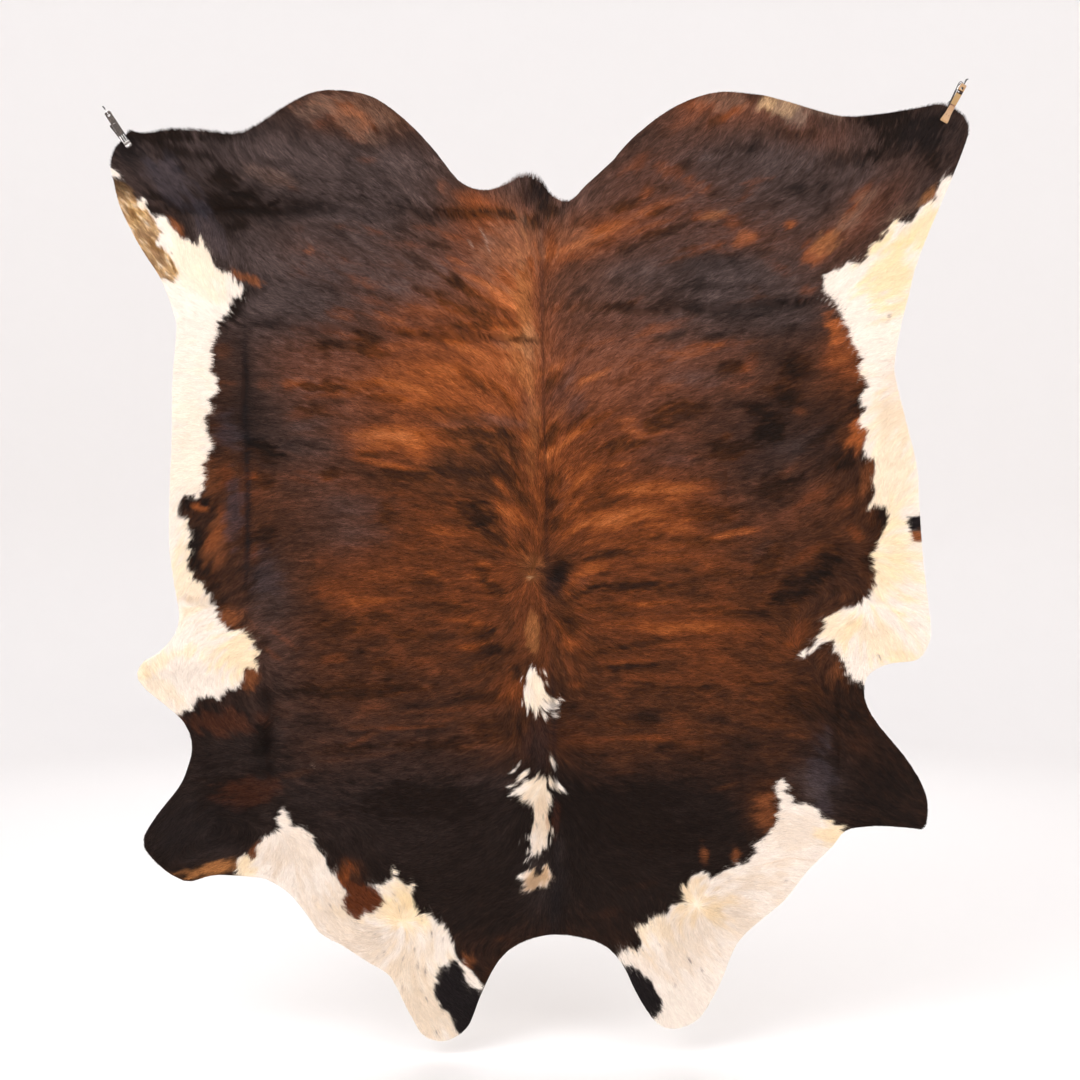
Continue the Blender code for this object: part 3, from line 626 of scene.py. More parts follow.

# %% [markdown]
# ## Markings
# The white patches, the spots and the rust are natural markings, so they are drawn one by one. A white
# patch is an outline of points, and its border is frayed along the hair: how far a cell lies inside the
# outline is shifted by the combed noise before it is turned to a share of white. Where brindle is
# redder or darker than elsewhere comes from a table of soft ovals.

# %% White patches
CREAM, BUTTER, GREY_FLECK = srgb(250, 236, 223), srgb(252, 221, 166), srgb(150, 132, 128)
WHITE_PATCHES = {
    "flank_left": [
        (-944, -241), (-930, -232), (-907, -225), (-898, -241), (-879, -264), (-859, -270), (-847, -283),
        (-833, -306), (-810, -320), (-787, -327), (-780, -331), (-775, -316), (-764, -324), (-757, -345),
        (-747, -364), (-733, -392), (-706, -396), (-699, -412), (-680, -426), (-671, -424), (-682, -456),
        (-689, -449), (-700, -452), (-710, -475), (-713, -494), (-724, -503), (-733, -514), (-736, -535),
        (-747, -556), (-752, -572), (-747, -600), (-752, -626), (-740, -637), (-733, -665), (-743, -682),
        (-757, -688), (-745, -715), (-761, -723), (-765, -744), (-757, -765), (-743, -802), (-757, -816),
        (-768, -837), (-766, -871), (-768, -892), (-775, -908), (-782, -918), (-794, -915), (-805, -913),
        (-821, -925), (-831, -941), (-824, -957), (-808, -969), (-802, -990), (-796, -1008), (-803, -1027),
        (-796, -1054), (-805, -1071), (-798, -1094), (-794, -1108), (-775, -1117), (-764, -1136),
        (-752, -1152), (-743, -1170), (-736, -1184), (-732, -1205), (-715, -1217), (-696, -1228),
        (-692, -1223), (-675, -1226), (-664, -1240), (-652, -1258), (-641, -1275), (-650, -1284),
        (-643, -1319), (-652, -1312), (-671, -1308), (-675, -1326), (-687, -1349), (-700, -1367),
        (-713, -1358), (-729, -1381), (-745, -1374), (-757, -1374), (-771, -1377), (-786, -1388),
        (-798, -1407), (-821, -1411), (-859, -1444), (-986, -1386), (-986, -1061), (-986, -459), (-963, -262),
    ],
    "hip_left_spot": [
        (-998, -148), (-979, -153), (-965, -162), (-958, -171), (-972, -176), (-998, -174),
    ],
    "shank_left": [
        (-694, -1752), (-672, -1743), (-662, -1750), (-650, -1754), (-643, -1750), (-641, -1724),
        (-619, -1699), (-597, -1683), (-601, -1662), (-594, -1643), (-585, -1636), (-576, -1639),
        (-571, -1659), (-569, -1676), (-542, -1680), (-520, -1697), (-509, -1716), (-504, -1736),
        (-488, -1750), (-476, -1770), (-471, -1787), (-455, -1808), (-439, -1822), (-425, -1831),
        (-402, -1826), (-388, -1812), (-376, -1817), (-358, -1812), (-337, -1802), (-325, -1782),
        (-316, -1805), (-300, -1822), (-284, -1815), (-286, -1838), (-279, -1859), (-270, -1884),
        (-245, -1887), (-219, -1907), (-198, -1928), (-189, -1958), (-180, -1984), (-156, -2003),
        (-140, -2016), (-135, -2037), (-110, -2047), (-87, -2081), (-128, -2197), (-244, -2220),
        (-360, -2116), (-453, -2000), (-569, -1919), (-694, -1831), (-687, -1789), (-688, -1775),
    ],
    "shank_right": [
        (185, -1984), (205, -1972), (217, -1965), (236, -1968), (239, -1954), (236, -1917), (261, -1903),
        (282, -1887), (306, -1875), (312, -1861), (342, -1852), (340, -1833), (335, -1810), (351, -1815),
        (365, -1796), (388, -1782), (407, -1796), (435, -1787), (449, -1773), (474, -1766), (493, -1761),
        (509, -1738), (511, -1717), (544, -1697), (558, -1669), (565, -1641), (566, -1615), (555, -1597),
        (560, -1574), (572, -1569), (581, -1578), (583, -1599), (599, -1621), (630, -1629), (655, -1641),
        (667, -1662), (692, -1673), (711, -1676), (715, -1697), (752, -1734), (637, -1896), (474, -2081),
        (382, -2186), (266, -2186), (161, -2000),
    ],
    "flank_right": [
        (966, -167), (945, -178), (933, -194), (936, -208), (922, -229), (889, -248), (882, -262),
        (871, -276), (850, -276), (829, -273), (817, -298), (796, -322), (778, -338), (766, -359),
        (751, -376), (741, -382), (723, -361), (718, -373), (708, -389), (686, -397), (667, -401),
        (667, -411), (669, -425), (676, -441), (687, -451), (702, -478), (708, -490), (713, -506),
        (726, -532), (735, -555), (748, -574), (753, -594), (751, -616), (761, -639), (767, -662),
        (762, -675), (751, -694), (760, -717), (752, -727), (749, -743), (768, -761), (764, -779),
        (757, -802), (751, -830), (767, -825), (782, -823), (784, -855), (781, -891), (777, -923),
        (772, -941), (780, -931), (795, -939), (808, -936), (814, -962), (814, -978), (803, -991),
        (791, -1008), (793, -1024), (780, -1050), (782, -1066), (788, -1089), (785, -1118), (770, -1143),
        (751, -1161), (731, -1169), (712, -1169), (686, -1190), (666, -1198), (667, -1210), (658, -1229),
        (650, -1251), (630, -1270), (611, -1282), (627, -1284), (656, -1257), (669, -1255), (686, -1251),
        (689, -1271), (704, -1281), (710, -1293), (720, -1315), (729, -1335), (741, -1340), (757, -1347),
        (787, -1374), (938, -1340), (949, -922), (880, -528), (1019, -192),
    ],
    "withers": [
        (-17, -1305), (-8, -1302), (1, -1314), (13, -1333), (25, -1358), (34, -1386), (48, -1381),
        (69, -1393), (52, -1407), (43, -1423), (32, -1411), (22, -1428), (11, -1411), (1, -1421),
        (-10, -1404), (-19, -1416), (-19, -1386), (-24, -1358), (-22, -1330),
    ],
    "neck_speck": [
        (38, -1518), (48, -1530), (52, -1548), (41, -1551), (36, -1534),
    ],
    "neck_wisp": [
        (34, -1569), (48, -1576), (62, -1592), (48, -1590), (36, -1585),
    ],
    "neck_wisp_left": [
        (-36, -1534), (-40, -1548), (-50, -1557), (-54, -1553), (-45, -1541),
    ],
    "neck_top": [
        (-25, -1544), (-19, -1560), (-15, -1569), (-6, -1574), (13, -1567), (25, -1569), (32, -1576),
        (35, -1595), (43, -1608), (35, -1618), (33, -1646), (33, -1678), (36, -1694), (34, -1713),
        (25, -1727), (15, -1731), (13, -1750), (10, -1724), (3, -1734), (-3, -1745), (-14, -1754),
        (-23, -1766), (-28, -1750), (-23, -1734), (-15, -1724), (-13, -1713), (-29, -1713), (-17, -1697),
        (-6, -1683), (1, -1664), (-3, -1648), (-11, -1634), (-17, -1625), (-26, -1632), (-33, -1620),
        (-43, -1611), (-61, -1605), (-43, -1598), (-57, -1592), (-38, -1588), (-33, -1576), (-36, -1564),
    ],
    "neck_low": [
        (-36, -1795), (-22, -1790), (-13, -1785), (-7, -1787), (-8, -1794), (-3, -1797), (6, -1796),
        (18, -1789), (27, -1781), (13, -1780), (19, -1772), (28, -1772), (33, -1782), (37, -1792),
        (33, -1805), (23, -1819), (6, -1821), (-6, -1828), (-29, -1831), (-19, -1821), (-33, -1816),
        (-26, -1808), (-35, -1801),
    ],
}
FRAY, LOOSE_FRAY = 3.2 * MM, 6.0 * MM
LOOSE = ("withers", "neck_wisp", "neck_top")
SOFT_BORDER = 1.6 * MM
OUTLINE_MARGIN = 12 * MM
WISPY, LOCKED = 0.55, 0.75


def inside_by(outline):
    """How far each cell of a window lies inside a closed outline, and below 0 outside it: the distance to
    the nearest edge, with the sign from how many edges a ray to the right crosses."""
    points = np.array(outline) * MM
    window, x, z = window_round(points, OUTLINE_MARGIN)
    nearest, inside = np.full(x.shape, FAR), np.zeros(x.shape, bool)
    for start, end in zip(points, np.roll(points, -1, axis=0)):
        step = end - start
        nearest = np.minimum(nearest, from_stretch(x, z, start, step)[1])
        if step[1]:
            crossing = start[0] + (z - start[1]) / step[1] * step[0]
            inside ^= ((start[1] > z) != (end[1] > z)) & (x < crossing)
    return window, np.where(inside, nearest, -nearest)


def frayed(outline, fray=FRAY):
    """Share of a patch in each cell of its window, with its border drawn out in tufts."""
    window, inside = inside_by(outline)
    ragged = inside + fray * (WISPY * wisps[window] + LOCKED * locks[window])
    return window, smooth_step(-SOFT_BORDER, SOFT_BORDER, ragged)


white = np.zeros((ROWS, COLUMNS), np.float32)
for name, outline in WHITE_PATCHES.items():
    window, share = frayed(outline, LOOSE_FRAY if name in LOOSE else FRAY)
    white[window] = np.maximum(white[window], share)
print("white covers", round(float(white.mean()) * 100), "percent of the chart")

# %% [markdown]
# ## Brindle
# The coat between the white patches runs from black to tan, in streaks. A texture node could only
# scatter such streaks; on a real hide each lies where it lies, so they are set out one by one here. Large
# soft ovals say how warm each part of the body is, and small ragged streaks go over them. A bluish grey
# shine on the hair where it leans away from the light is painted into its colour, with its own ovals and
# streaks. The last ovals make a whole region lighter or darker; one of them is painted shade on the right
# arm.

# %% Brindle
# The third colour is the bluish grey of the shine painted on the hair.
SOOT, CHARCOAL, SHEEN_GREY = srgb(30, 20, 18), srgb(48, 38, 38), srgb(82, 69, 71)
WARM_SHADES = [
    # warmth, colour at it
    (0.00, srgb(28, 18, 14)), (0.25, srgb(50, 29, 18)), (0.45, srgb(76, 42, 22)), (0.65, srgb(103, 54, 26)),
    (0.85, srgb(133, 70, 31)), (1.00, srgb(156, 87, 43)), (1.25, srgb(180, 106, 60)),
]
WARM_BASE, SHEEN_BASE = 0.14, 0.04
WARM = [
    # name, middle, half length, half height, turn, how much warmer
    ("barrel", (-1, -957), 700, 560, 0, 0.54), ("back", (-105, -540), 380, 200, -6, 0.24),
    ("tail_root", (-82, -331), 260, 100, 0, 0.24), ("dip_right", (173, -296), 190, 50, 16, 0.36),
    ("dip_left", (-152, -239), 110, 70, -15, 0.30), ("hump_left", (-425, -28), 140, 70, -12, 0.44),
    ("rump_right", (277, -162), 170, 90, 14, 0.36), ("hump_right", (486, -14), 210, 60, 2, 0.34),
    ("hump_right_low", (660, -92), 110, 60, 0, 0.30), ("hip_right", (711, -320), 130, 60, 40, 0.40),
    ("hip_right_low", (486, -320), 150, 50, 4, 0.42), ("hip_right_high", (451, -239), 170, 50, 0, 0.20),
    ("rump_left_spot", (-534, -371), 100, 60, -15, 0.40), ("ribs_left", (-325, -656), 190, 80, -5, 0.24),
    ("ribs_left_low", (-332, -788), 130, 42, -4, 0.24), ("ribs_right", (312, -922), 170, 60, 4, 0.10),
    ("backbone", (-45, -470), 60, 170, 0, 0.30), ("loin_right_low", (312, -609), 190, 70, 4, 0.16),
    ("loin_right", (185, -424), 130, 70, 0, -0.14), ("flank_right", (671, -922), 90, 160, 0, 0.10),
    ("shank_right", (535, -1632), 50, 80, -15, 0.50), ("shank_left", (-441, -1815), 60, 60, 0, 0.60),
    ("belly_left", (-696, -922), 70, 220, 0, 0.14), ("loin_end", (729, -563), 70, 130, 0, 0.50),
    ("shoulder_right", (497, -1293), 280, 140, 0, 0.14), ("rim_right", (799, -215), 110, 50, 40, 0.35),
    ("loin_left_far", (-569, -575), 110, 90, -20, 0.22), ("withers_spot", (-50, -1367), 40, 30, 0, 0.36),
    ("belly_low", (-395, -1131), 140, 100, 0, 0.16), ("neck_ridge", (150, -1483), 240, 60, 0, 0.18),
    ("neck_left", (-546, -1513), 130, 60, 0, 0.10), ("spine_low", (11, -1247), 40, 70, 0, 0.10),
]
DARK = [
    # name, middle, half length, half height, turn, how much darker
    ("flank_left", (-634, -440), 150, 110, -20, 0.32), ("flank_left_low", (-662, -679), 60, 160, 0, 0.20),
    ("side_right", (446, -394), 100, 60, 0, 0.30), ("side_right_mid", (497, -482), 160, 60, 0, 0.20),
    ("blade_right", (555, -795), 140, 80, 0, 0.24), ("loin_dark", (-615, -783), 80, 60, 0, 0.22),
    ("blade_left", (-128, -848), 130, 90, 0, 0.24), ("neck", (-221, -1722), 480, 170, 0, 0.46),
    ("neck_right", (266, -1710), 330, 130, 0, 0.40), ("arm_left", (-766, -1548), 190, 190, 0, 0.34),
    ("arm_right", (799, -1595), 170, 150, 0, 0.14), ("rump_left", (-476, -204), 300, 130, 0, 0.24),
    ("corner_left", (-777, -157), 200, 130, 0, 0.16), ("spine", (50, -1096), 34, 60, 0, 0.34),
    ("flank_low_right", (660, -1108), 70, 50, 0, 0.14), ("blade_mid", (-94, -969), 80, 60, 0, 0.12),
]
PAINTED_SHEEN = [
    # name, middle, half length, half height, turn, how much greyer the painted shine on the hair makes it
    ("rump_left", (-546, -192), 520, 150, -6, 0.68), ("rump_right", (544, -192), 480, 190, 6, 0.56),
    ("side_back_left", (-569, -424), 260, 130, 0, 0.55), ("side_back_right", (474, -436), 330, 110, 0, 0.40),
    ("loin_left", (-267, -401), 130, 60, 0, 0.34), ("back_left", (-546, -621), 190, 160, 0, 0.26),
    ("back_right", (242, -609), 300, 140, 0, 0.30), ("side_left", (-499, -830), 110, 160, 0, 0.24),
    ("belly_left", (-615, -1224), 70, 170, 0, 0.32), ("tail", (-36, -320), 190, 90, 0, -0.22),
    ("neck_left", (-430, -1548), 380, 200, 0, 0.12), ("blade_right", (660, -1583), 50, 60, 0, 0.40),
    ("shoulder_right", (521, -876), 150, 150, 0, 0.16), ("corner_left", (-731, -239), 160, 80, 0, -0.46),
    ("blade_near", (300, -818), 90, 50, 0, 0.16), ("throat", (11, -1803), 40, 60, 0, 0.45),
    ("dip_left", (-511, -262), 180, 40, 0, -0.20), ("ribs_left", (-441, -992), 80, 60, 0, 0.26),
    ("dip_left_brown", (-170, -234), 110, 50, -8, -0.34), ("dip_right", (173, -292), 150, 50, 16, -0.22),
    ("hump_left", (-425, -28), 110, 50, -12, -0.20),
]
WARM_CAST = np.float32((1.07, 1.01, 0.86))
LIGHTER_DARKER_OVALS = [
    # name, middle, half length, half height, turn, how much lighter, or darker below 0
    ("back", (-82, -505), 260, 330, 0, 0.36), ("tail_root", (-13, -227), 160, 60, 0, 0.80),
    ("loin", (127, -424), 150, 70, 0, 0.26), ("ribs", (-175, -748), 120, 70, 0, 0.36),
    ("hump_right", (463, -14), 190, 56, 4, 0.50), ("dip_left", (-256, -146), 70, 90, 0, 0.42),
    ("neck", (57, -1595), 110, 200, 0, -0.22), ("throat", (22, -1780), 70, 80, 0, -0.30),
    ("loin_far", (300, -598), 150, 160, 0, 0.16), ("shoulder", (358, -1061), 90, 60, 0, 0.20),
    ("corner_top", (-522, -239), 200, 60, 0, 0.16), ("knee", (688, -1168), 50, 50, 0, 0.20),
    ("rib_gap", (-193, -848), 100, 46, 0, 0.45), ("neck_side", (62, -1455), 60, 76, 0, -0.24),
    ("withers_side", (-36, -1374), 44, 50, 0, -0.14), ("flank_high", (-495, -431), 100, 50, 0, -0.28),
    # The arm_right row is painted shade on the dark side of a fold ridge on the right arm.
    ("corner_side", (-518, -227), 90, 54, 0, -0.28), ("arm_right", (780, -1553), 80, 130, 0, -0.32),
]
DARKER_STREAKS = {
    # how much darker, in percent: middle across and up, half length, half height, turn if it has one
    # Two rows are painted shade along the left loin crease, not brindle: (-128, -517) at 20 and (-31, -547)
    # at 35.
    6: [(242, -1687, 139, 46)],
    8: [(-430, -1502, 70, 14), (-569, -343, 42, 19, -20), (-696, -1618, 93, 70)],
    10: [(-221, -1490, 116, 12), (115, -473, 93, 14), (324, -841, 42, 12, 5), (613, -1391, 65, 37),
        (-267, -1618, 139, 46), (150, -1618, 139, 37)],
    12: [(-383, -653, 46, 14, -3), (-117, -802, 65, 14), (-349, -946, 23, 32), (-504, -563, 46, 30),
        (-198, -551, 60, 7, -5), (-453, -1214, 56, 16), (-441, -1365, 139, 19), (196, -649, 28, 9, 10),
        (150, -732, 46, 12, 30), (382, -1015, 65, 12), (254, -1006, 46, 12, 12), (416, -1096, 46, 7, 5),
        (358, -1358, 46, 9), (254, -1358, 32, 9, 5), (307, -1490, 32, 12, 8), (-476, -436, 60, 19, -8)],
    14: [(-279, -1112, 37, 7), (-291, -1233, 32, 9), (-115, -1312, 28, 9, -8), (-349, -1305, 32, 12),
        (-291, -1358, 51, 9), (-82, -1451, 65, 30), (242, -484, 104, 9), (484, -484, 88, 16, 5),
        (409, -955, 65, 19), (416, -1173, 46, 7, 5), (150, -1275, 42, 9, 12), (-627, -876, 28, 19, -30),
        (648, -783, 60, 14, 35), (613, -609, 28, 37), (358, -262, 42, 7, 20), (215, -338, 32, 9, 18),
        (-634, -1479, 19, 139), (-546, -99, 28, 12, -30), (-325, -215, 28, 12, -20)],
    15: [(-703, -320, 19, 42, 10), (-458, -563, 56, 19, -5), (-82, -672, 51, 12, -40),
        (-198, -408, 70, 12, -25), (-105, -482, 65, 12, -32), (231, -1435, 58, 12)],
    16: [(-128, -1381, 65, 12), (96, -744, 19, 28, -40), (50, -881, 23, 19, 50), (185, -1170, 93, 9, 5),
        (80, -1214, 25, 16), (382, -1511, 42, 9, 8), (-662, -1131, 21, 32), (-267, -255, 65, 16, -5),
        (-634, -1247, 14, 46, 20), (-861, -176, 32, 14, -20), (-546, -494, 60, 12, -6),
        (-522, -239, 46, 9, -6), (-615, -134, 23, 12, -10), (486, -111, 56, 14, 4), (428, -41, 32, 12, 20),
        (266, -204, 28, 12, 20)],
    18: [(-31, -918, 23, 14, -50), (-249, -436, 42, 9, -10), (-369, -1191, 37, 9), (729, -1391, 42, 56),
        (-170, -257, 93, 12, -3), (463, -371, 32, 23, -35), (-240, -327, 37, 9, -20),
        (-267, -371, 23, 21, -50), (-650, -252, 197, 12, -2), (-430, -227, 56, 12, -10), (-580, -227, 32, 12),
        (613, -76, 56, 14, 5), (463, -285, 46, 14, 5), (822, -111, 56, 23, 10)],
    20: [(-893, -81, 70, 12), (-284, -535, 32, 9), (-342, -686, 51, 9, -5), (-511, -714, 56, 16, -5),
        (-203, -711, 46, 9), (-518, -797, 51, 16), (-388, -816, 23, 9), (-68, -853, 42, 19, -48),
        (-476, -864, 42, 16), (-152, -440, 81, 12, -30), (-198, -1166, 42, 12, -5),
        (-124, -1094, 19, 14, -50), (451, -623, 46, 16, 10), (590, -616, 23, 37), (289, -748, 37, 16, 15),
        (451, -806, 56, 25), (154, -934, 46, 12, 20), (544, -1061, 25, 42, -20), (590, -1149, 65, 16, 18),
        (254, -1254, 65, 9, 10), (678, -1061, 21, 32, -20), (-627, -806, 42, 23, -20),
        (780, -1061, 21, 32, -20), (660, -1089, 28, 21, 40), (150, -324, 30, 12, 10), (208, -239, 46, 14, 14),
        (382, -371, 93, 32, 10), (196, -470, 28, 14, 10), (382, -424, 79, 16, 5), (-302, -296, 28, 23, -45),
        (-870, -220, 42, 9, -14), (-685, -283, 23, 21, 30), (-634, -510, 42, 14), (-743, -459, 19, 32),
        (-128, -517, 104, 9), (544, -239, 46, 12, 6), (532, -343, 42, 14), (358, -146, 37, 14, 20),
        (915, -111, 28, 56, 20), (613, -204, 60, 19, 8)],
    22: [(-152, -635, 42, 14, -40), (-179, -475, 70, 12, -22), (548, -899, 60, 35), (150, -904, 42, 14, 35),
        (486, -1182, 56, 9), (521, -1347, 37, 7), (729, -134, 70, 21, 10)],
    24: [(-128, -1228, 35, 14, -10), (-47, -1323, 12, 21, 20), (52, -644, 37, 19, 45), (581, -679, 42, 28),
        (613, -1112, 79, 21, 32), (-627, -1003, 21, 28), (748, -695, 19, 32, -5), (300, -301, 51, 14, 20),
        (277, -257, 28, 9, 15), (579, -463, 51, 9)],
    25: [(-750, -234, 19, 19), (-379, -579, 42, 12, -15), (-476, -660, 74, 14, -3), (-314, -862, 63, 12),
        (-170, -857, 88, 16), (-89, -1010, 60, 16, -25), (335, -466, 56, 19), (312, -544, 35, 9, 12),
        (414, -547, 28, 12, 10), (335, -714, 56, 21, 12), (38, -774, 16, 30, -25), (-8, -278, 16, 21, 15),
        (-726, -76, 60, 14, 2), (-812, -116, 93, 14, -12), (-620, -241, 28, 7, 30), (799, -37, 56, 19, 5)],
    26: [(196, -795, 65, 14, 8), (416, -204, 32, 12, 15)],
    28: [(-393, -544, 30, 16, -25), (521, -718, 42, 16, -20), (57, -969, 28, 16, 45), (161, -1050, 65, 8, 10),
        (718, -830, 30, 19, 20), (-726, -181, 28, 14, -12)],
    30: [(-859, -127, 28, 9, -8), (-815, -155, 25, 12, -5), (-720, -176, 37, 23), (-673, -218, 32, 14),
        (-156, -769, 79, 16), (544, -760, 37, 23), (59, -1085, 21, 25, -30), (-768, -1085, 28, 21, -40),
        (-82, -257, 70, 12, -8), (11, -204, 32, 28), (-951, -99, 28, 37, 20), (-673, -447, 51, 16, 18),
        (-703, -487, 37, 19, 50), (857, -60, 70, 28, 10)],
    32: [(-96, -1126, 30, 12, -35), (122, -1133, 42, 9, 28)],
    34: [(-105, -1270, 35, 16), (36, -927, 21, 19, 30), (-787, -1027, 21, 42), (810, -957, 21, 37, -10)],
    35: [(-703, -241, 28, 16), (-133, -957, 46, 25, -25), (-893, -74, 93, 16, -4), (-685, -222, 39, 12, -8),
        (-31, -547, 23, 9)],
    36: [(224, -1122, 88, 10, 2)],
    38: [(219, -1309, 51, 7, 2)],
    40: [(-787, -934, 32, 19), (29, -243, 21, 23)],
}
WARMER_STREAKS = {
    # how much warmer, in percent: middle across and up, half length, half height, turn if it has one
    6: [(-488, -1050, 23, 32, -20), (-743, -1490, 37, 19)],
    8: [(242, -563, 37, 9, 10), (637, -1386, 37, 19)],
    10: [(-349, -911, 46, 9), (-152, -1265, 32, 9), (254, -616, 28, 14), (312, -1061, 56, 12),
        (382, -1483, 65, 7), (242, -1812, 70, 7, 14), (-453, -123, 14, 14), (-332, -185, 32, 12, -20),
        (-337, -378, 32, 9, -10), (-267, -1734, 93, 14), (-244, -1432, 93, 9, 2)],
    12: [(474, -806, 56, 19, 4), (115, -343, 60, 19, 20), (-233, -783, 56, 19, -6), (-244, -487, 83, 16),
        (-407, -1161, 56, 9, 5), (-314, -1152, 111, 7), (-244, -1293, 46, 9, 5), (-372, -1404, 39, 12, 10),
        (-383, -1513, 111, 6, 8), (-673, -1578, 42, 7), (-708, -1444, 32, 12, 10), (349, -992, 42, 16),
        (358, -1258, 65, 8), (254, -1335, 65, 12), (103, -1490, 42, 21), (613, -1467, 32, 9),
        (752, -1490, 32, 28, -30), (787, -1119, 19, 9, 20), (-441, -1653, 70, 14), (127, -1757, 32, 14, 20),
        (-128, -1861, 23, 14), (-476, -37, 51, 12, 30)],
    14: [(-221, -626, 97, 23, -6), (-244, -695, 88, 14, -10), (-291, -477, 56, 12), (-546, -876, 37, 7, -15),
        (-488, -1126, 46, 21), (-379, -1449, 65, 7), (-590, -1414, 25, 23), (150, -558, 46, 9, 15),
        (312, -658, 42, 12, 10), (300, -767, 65, 7, 10), (428, -556, 56, 12, 5), (289, -1029, 88, 9, 2),
        (602, -1258, 14, 12), (-546, -389, 19, 12)],
    15: [(393, -7, 46, 14)],
    16: [(-325, -565, 56, 12, 5), (-499, -871, 51, 9, -14), (-198, -992, 79, 14, -12),
        (-221, -371, 32, 7, -25), (103, -663, 51, 9, 42), (463, -563, 70, 9, 8), (289, -971, 56, 16),
        (238, -1200, 88, 9, 6), (242, -1293, 56, 6, 4), (161, -1752, 28, 9, 25), (173, -1877, 32, 14, 10),
        (69, -1629, 21, 14), (-627, -656, 23, 12), (-662, -853, 21, 23, -20), (590, -853, 42, 9, 35),
        (335, -53, 46, 12, 35), (-325, -331, 51, 9, -10), (-546, -292, 16, 9), (-504, -162, 19, 7, 35)],
    18: [(375, -1066, 60, 28), (-152, -1205, 65, 7, -6), (-147, -1265, 28, 9, -10), (-221, -1409, 134, 7, 4),
        (548, -1444, 65, 9, -4), (196, -1555, 42, 6, 6), (718, -922, 28, 16, 40), (-82, -1942, 28, 9)],
    20: [(-152, -575, 79, 12, -24), (-360, -799, 65, 12, 6), (-281, -797, 37, 19, -32),
        (-17, -786, 32, 14, -65), (-534, -517, 32, 12, 25), (-117, -1073, 19, 12, -32),
        (-604, -1228, 14, 7, -45), (-627, -1618, 21, 14), (224, -463, 28, 8, 22), (215, -737, 23, 9, 10),
        (115, -871, 46, 14, 48), (358, -899, 65, 19, 6), (277, -1161, 56, 8, 5), (-648, -871, 23, 12, -20),
        (-726, -957, 12, 28, 20), (-650, -806, 32, 6, -15), (-550, -725, 32, 16, 5), (-726, -755, 28, 6, -10),
        (688, -593, 32, 28, 30), (625, -1050, 46, 14, 30), (776, -853, 9, 21), (173, -292, 60, 12, 16),
        (439, -347, 42, 7, -20), (277, -285, 70, 7, 22), (-411, -88, 46, 12, -15), (-458, -292, 32, 7, 35),
        (-441, -371, 32, 7, -15), (-279, -331, 23, 7, -15), (-372, -424, 46, 12, -10),
        (-430, -296, 46, 7, -14), (-495, -405, 28, 9, -16), (-546, -401, 32, 9, 10), (-291, -528, 70, 9, -6),
        (-360, 16, 32, 9, -30)],
    22: [(-430, -540, 37, 9, -25), (-476, -681, 56, 9, 4), (-198, -310, 37, 9, -15),
        (-152, -220, 56, 16, -15), (497, -609, 16, 28, -30), (486, -658, 32, 7, 18), (57, -721, 28, 9, 50),
        (196, -841, 32, 8, 8), (442, -776, 14, 9, 30), (92, -1351, 21, 9), (-713, -651, 37, 6),
        (-720, -864, 21, 25, -10), (648, -911, 51, 14, 35), (92, -331, 79, 9, 20)],
    24: [(-314, -658, 74, 12, -12), (-465, -1289, 25, 12, 12), (-395, -1474, 39, 7, 22),
        (48, -614, 42, 9, 28), (382, -1217, 130, 16), (242, -1472, 76, 8), (254, -1817, 60, 9, 14),
        (-655, -1050, 14, 30), (-580, -1247, 28, 7, -35)],
    25: [(-256, -292, 32, 7, -10), (718, -783, 19, 28, 25), (497, -208, 32, 9, 40), (-383, -292, 42, 7, -20),
        (-379, -301, 23, 9, -20), (-476, -528, 42, 14, -18), (-555, -204, 23, 7, -20),
        (-383, -459, 32, 9, -16), (-395, -37, 32, 12, -30)],
    26: [(-349, -769, 88, 19, 4), (-128, -417, 51, 7, -25), (-615, -1275, 32, 7, -40),
        (-569, -1560, 46, 9, 12), (80, -779, 28, 9, 45), (266, -897, 88, 19, 4), (613, -1228, 30, 25, 50),
        (442, -1585, 35, 6, 18), (741, -1003, 16, 25, 30), (613, -718, 19, 9), (231, -146, 46, 14, 35),
        (254, -211, 19, 12, 30), (358, -354, 79, 6, 18)],
    28: [(-453, -498, 32, 9, -12), (-240, -1092, 16, 9), (300, -521, 65, 12, 16), (358, -579, 79, 16, 10),
        (110, -755, 30, 12, 38), (231, -765, 28, 12, -15), (87, -994, 51, 9, 32), (80, -1122, 21, 12, 42),
        (80, -1258, 30, 16), (-726, -575, 23, 16), (-430, -14, 32, 14, -30), (-395, -65, 19, 23, -60)],
    30: [(-365, -837, 79, 8, -9), (-175, -373, 37, 7, -25), (-70, -459, 42, 9, -35),
        (-221, -192, 16, 16, -30), (-284, -1449, 74, 5, 2), (-557, -649, 28, 12, 8), (289, -239, 79, 9, 18),
        (312, -162, 37, 19, -20), (456, -278, 23, 19, -40), (382, -338, 60, 7, 12), (497, -459, 60, 7, 8),
        (504, -436, 28, 12, -30), (567, -389, 42, 14, -35), (463, -23, 32, 9, 30), (-414, -1771, 21, 23),
        (-446, -487, 28, 12, -10), (-407, -415, 32, 12, -16), (-342, -500, 46, 12, -10)],
    32: [(-84, -885, 39, 9, -50), (34, -813, 35, 12, 30), (127, -1082, 51, 14, 14)],
    34: [(138, -637, 44, 8, 26), (208, -959, 88, 21, 9)],
    35: [(725, -262, 32, 9, 45), (-587, -185, 37, 12, -25)],
    36: [(-54, -952, 51, 19, -42), (-743, -1015, 19, 39, -30), (375, -194, 32, 16, -15)],
    40: [(474, -997, 63, 8, 12), (641, -347, 23, 23, 30), (752, -215, 37, 12, 45)],
    45: [(514, -183, 42, 7, 12), (678, -320, 37, 14, 45)],
    50: [(409, -262, 35, 12, 10), (632, -436, 21, 12, 10), (-386, -134, 28, 9, 5), (-522, -343, 16, 9, 20),
        (-441, -1780, 19, 28, -10)],
    55: [(490, -313, 23, 14, -20)],
    60: [(590, -283, 19, 9, 10)],
}
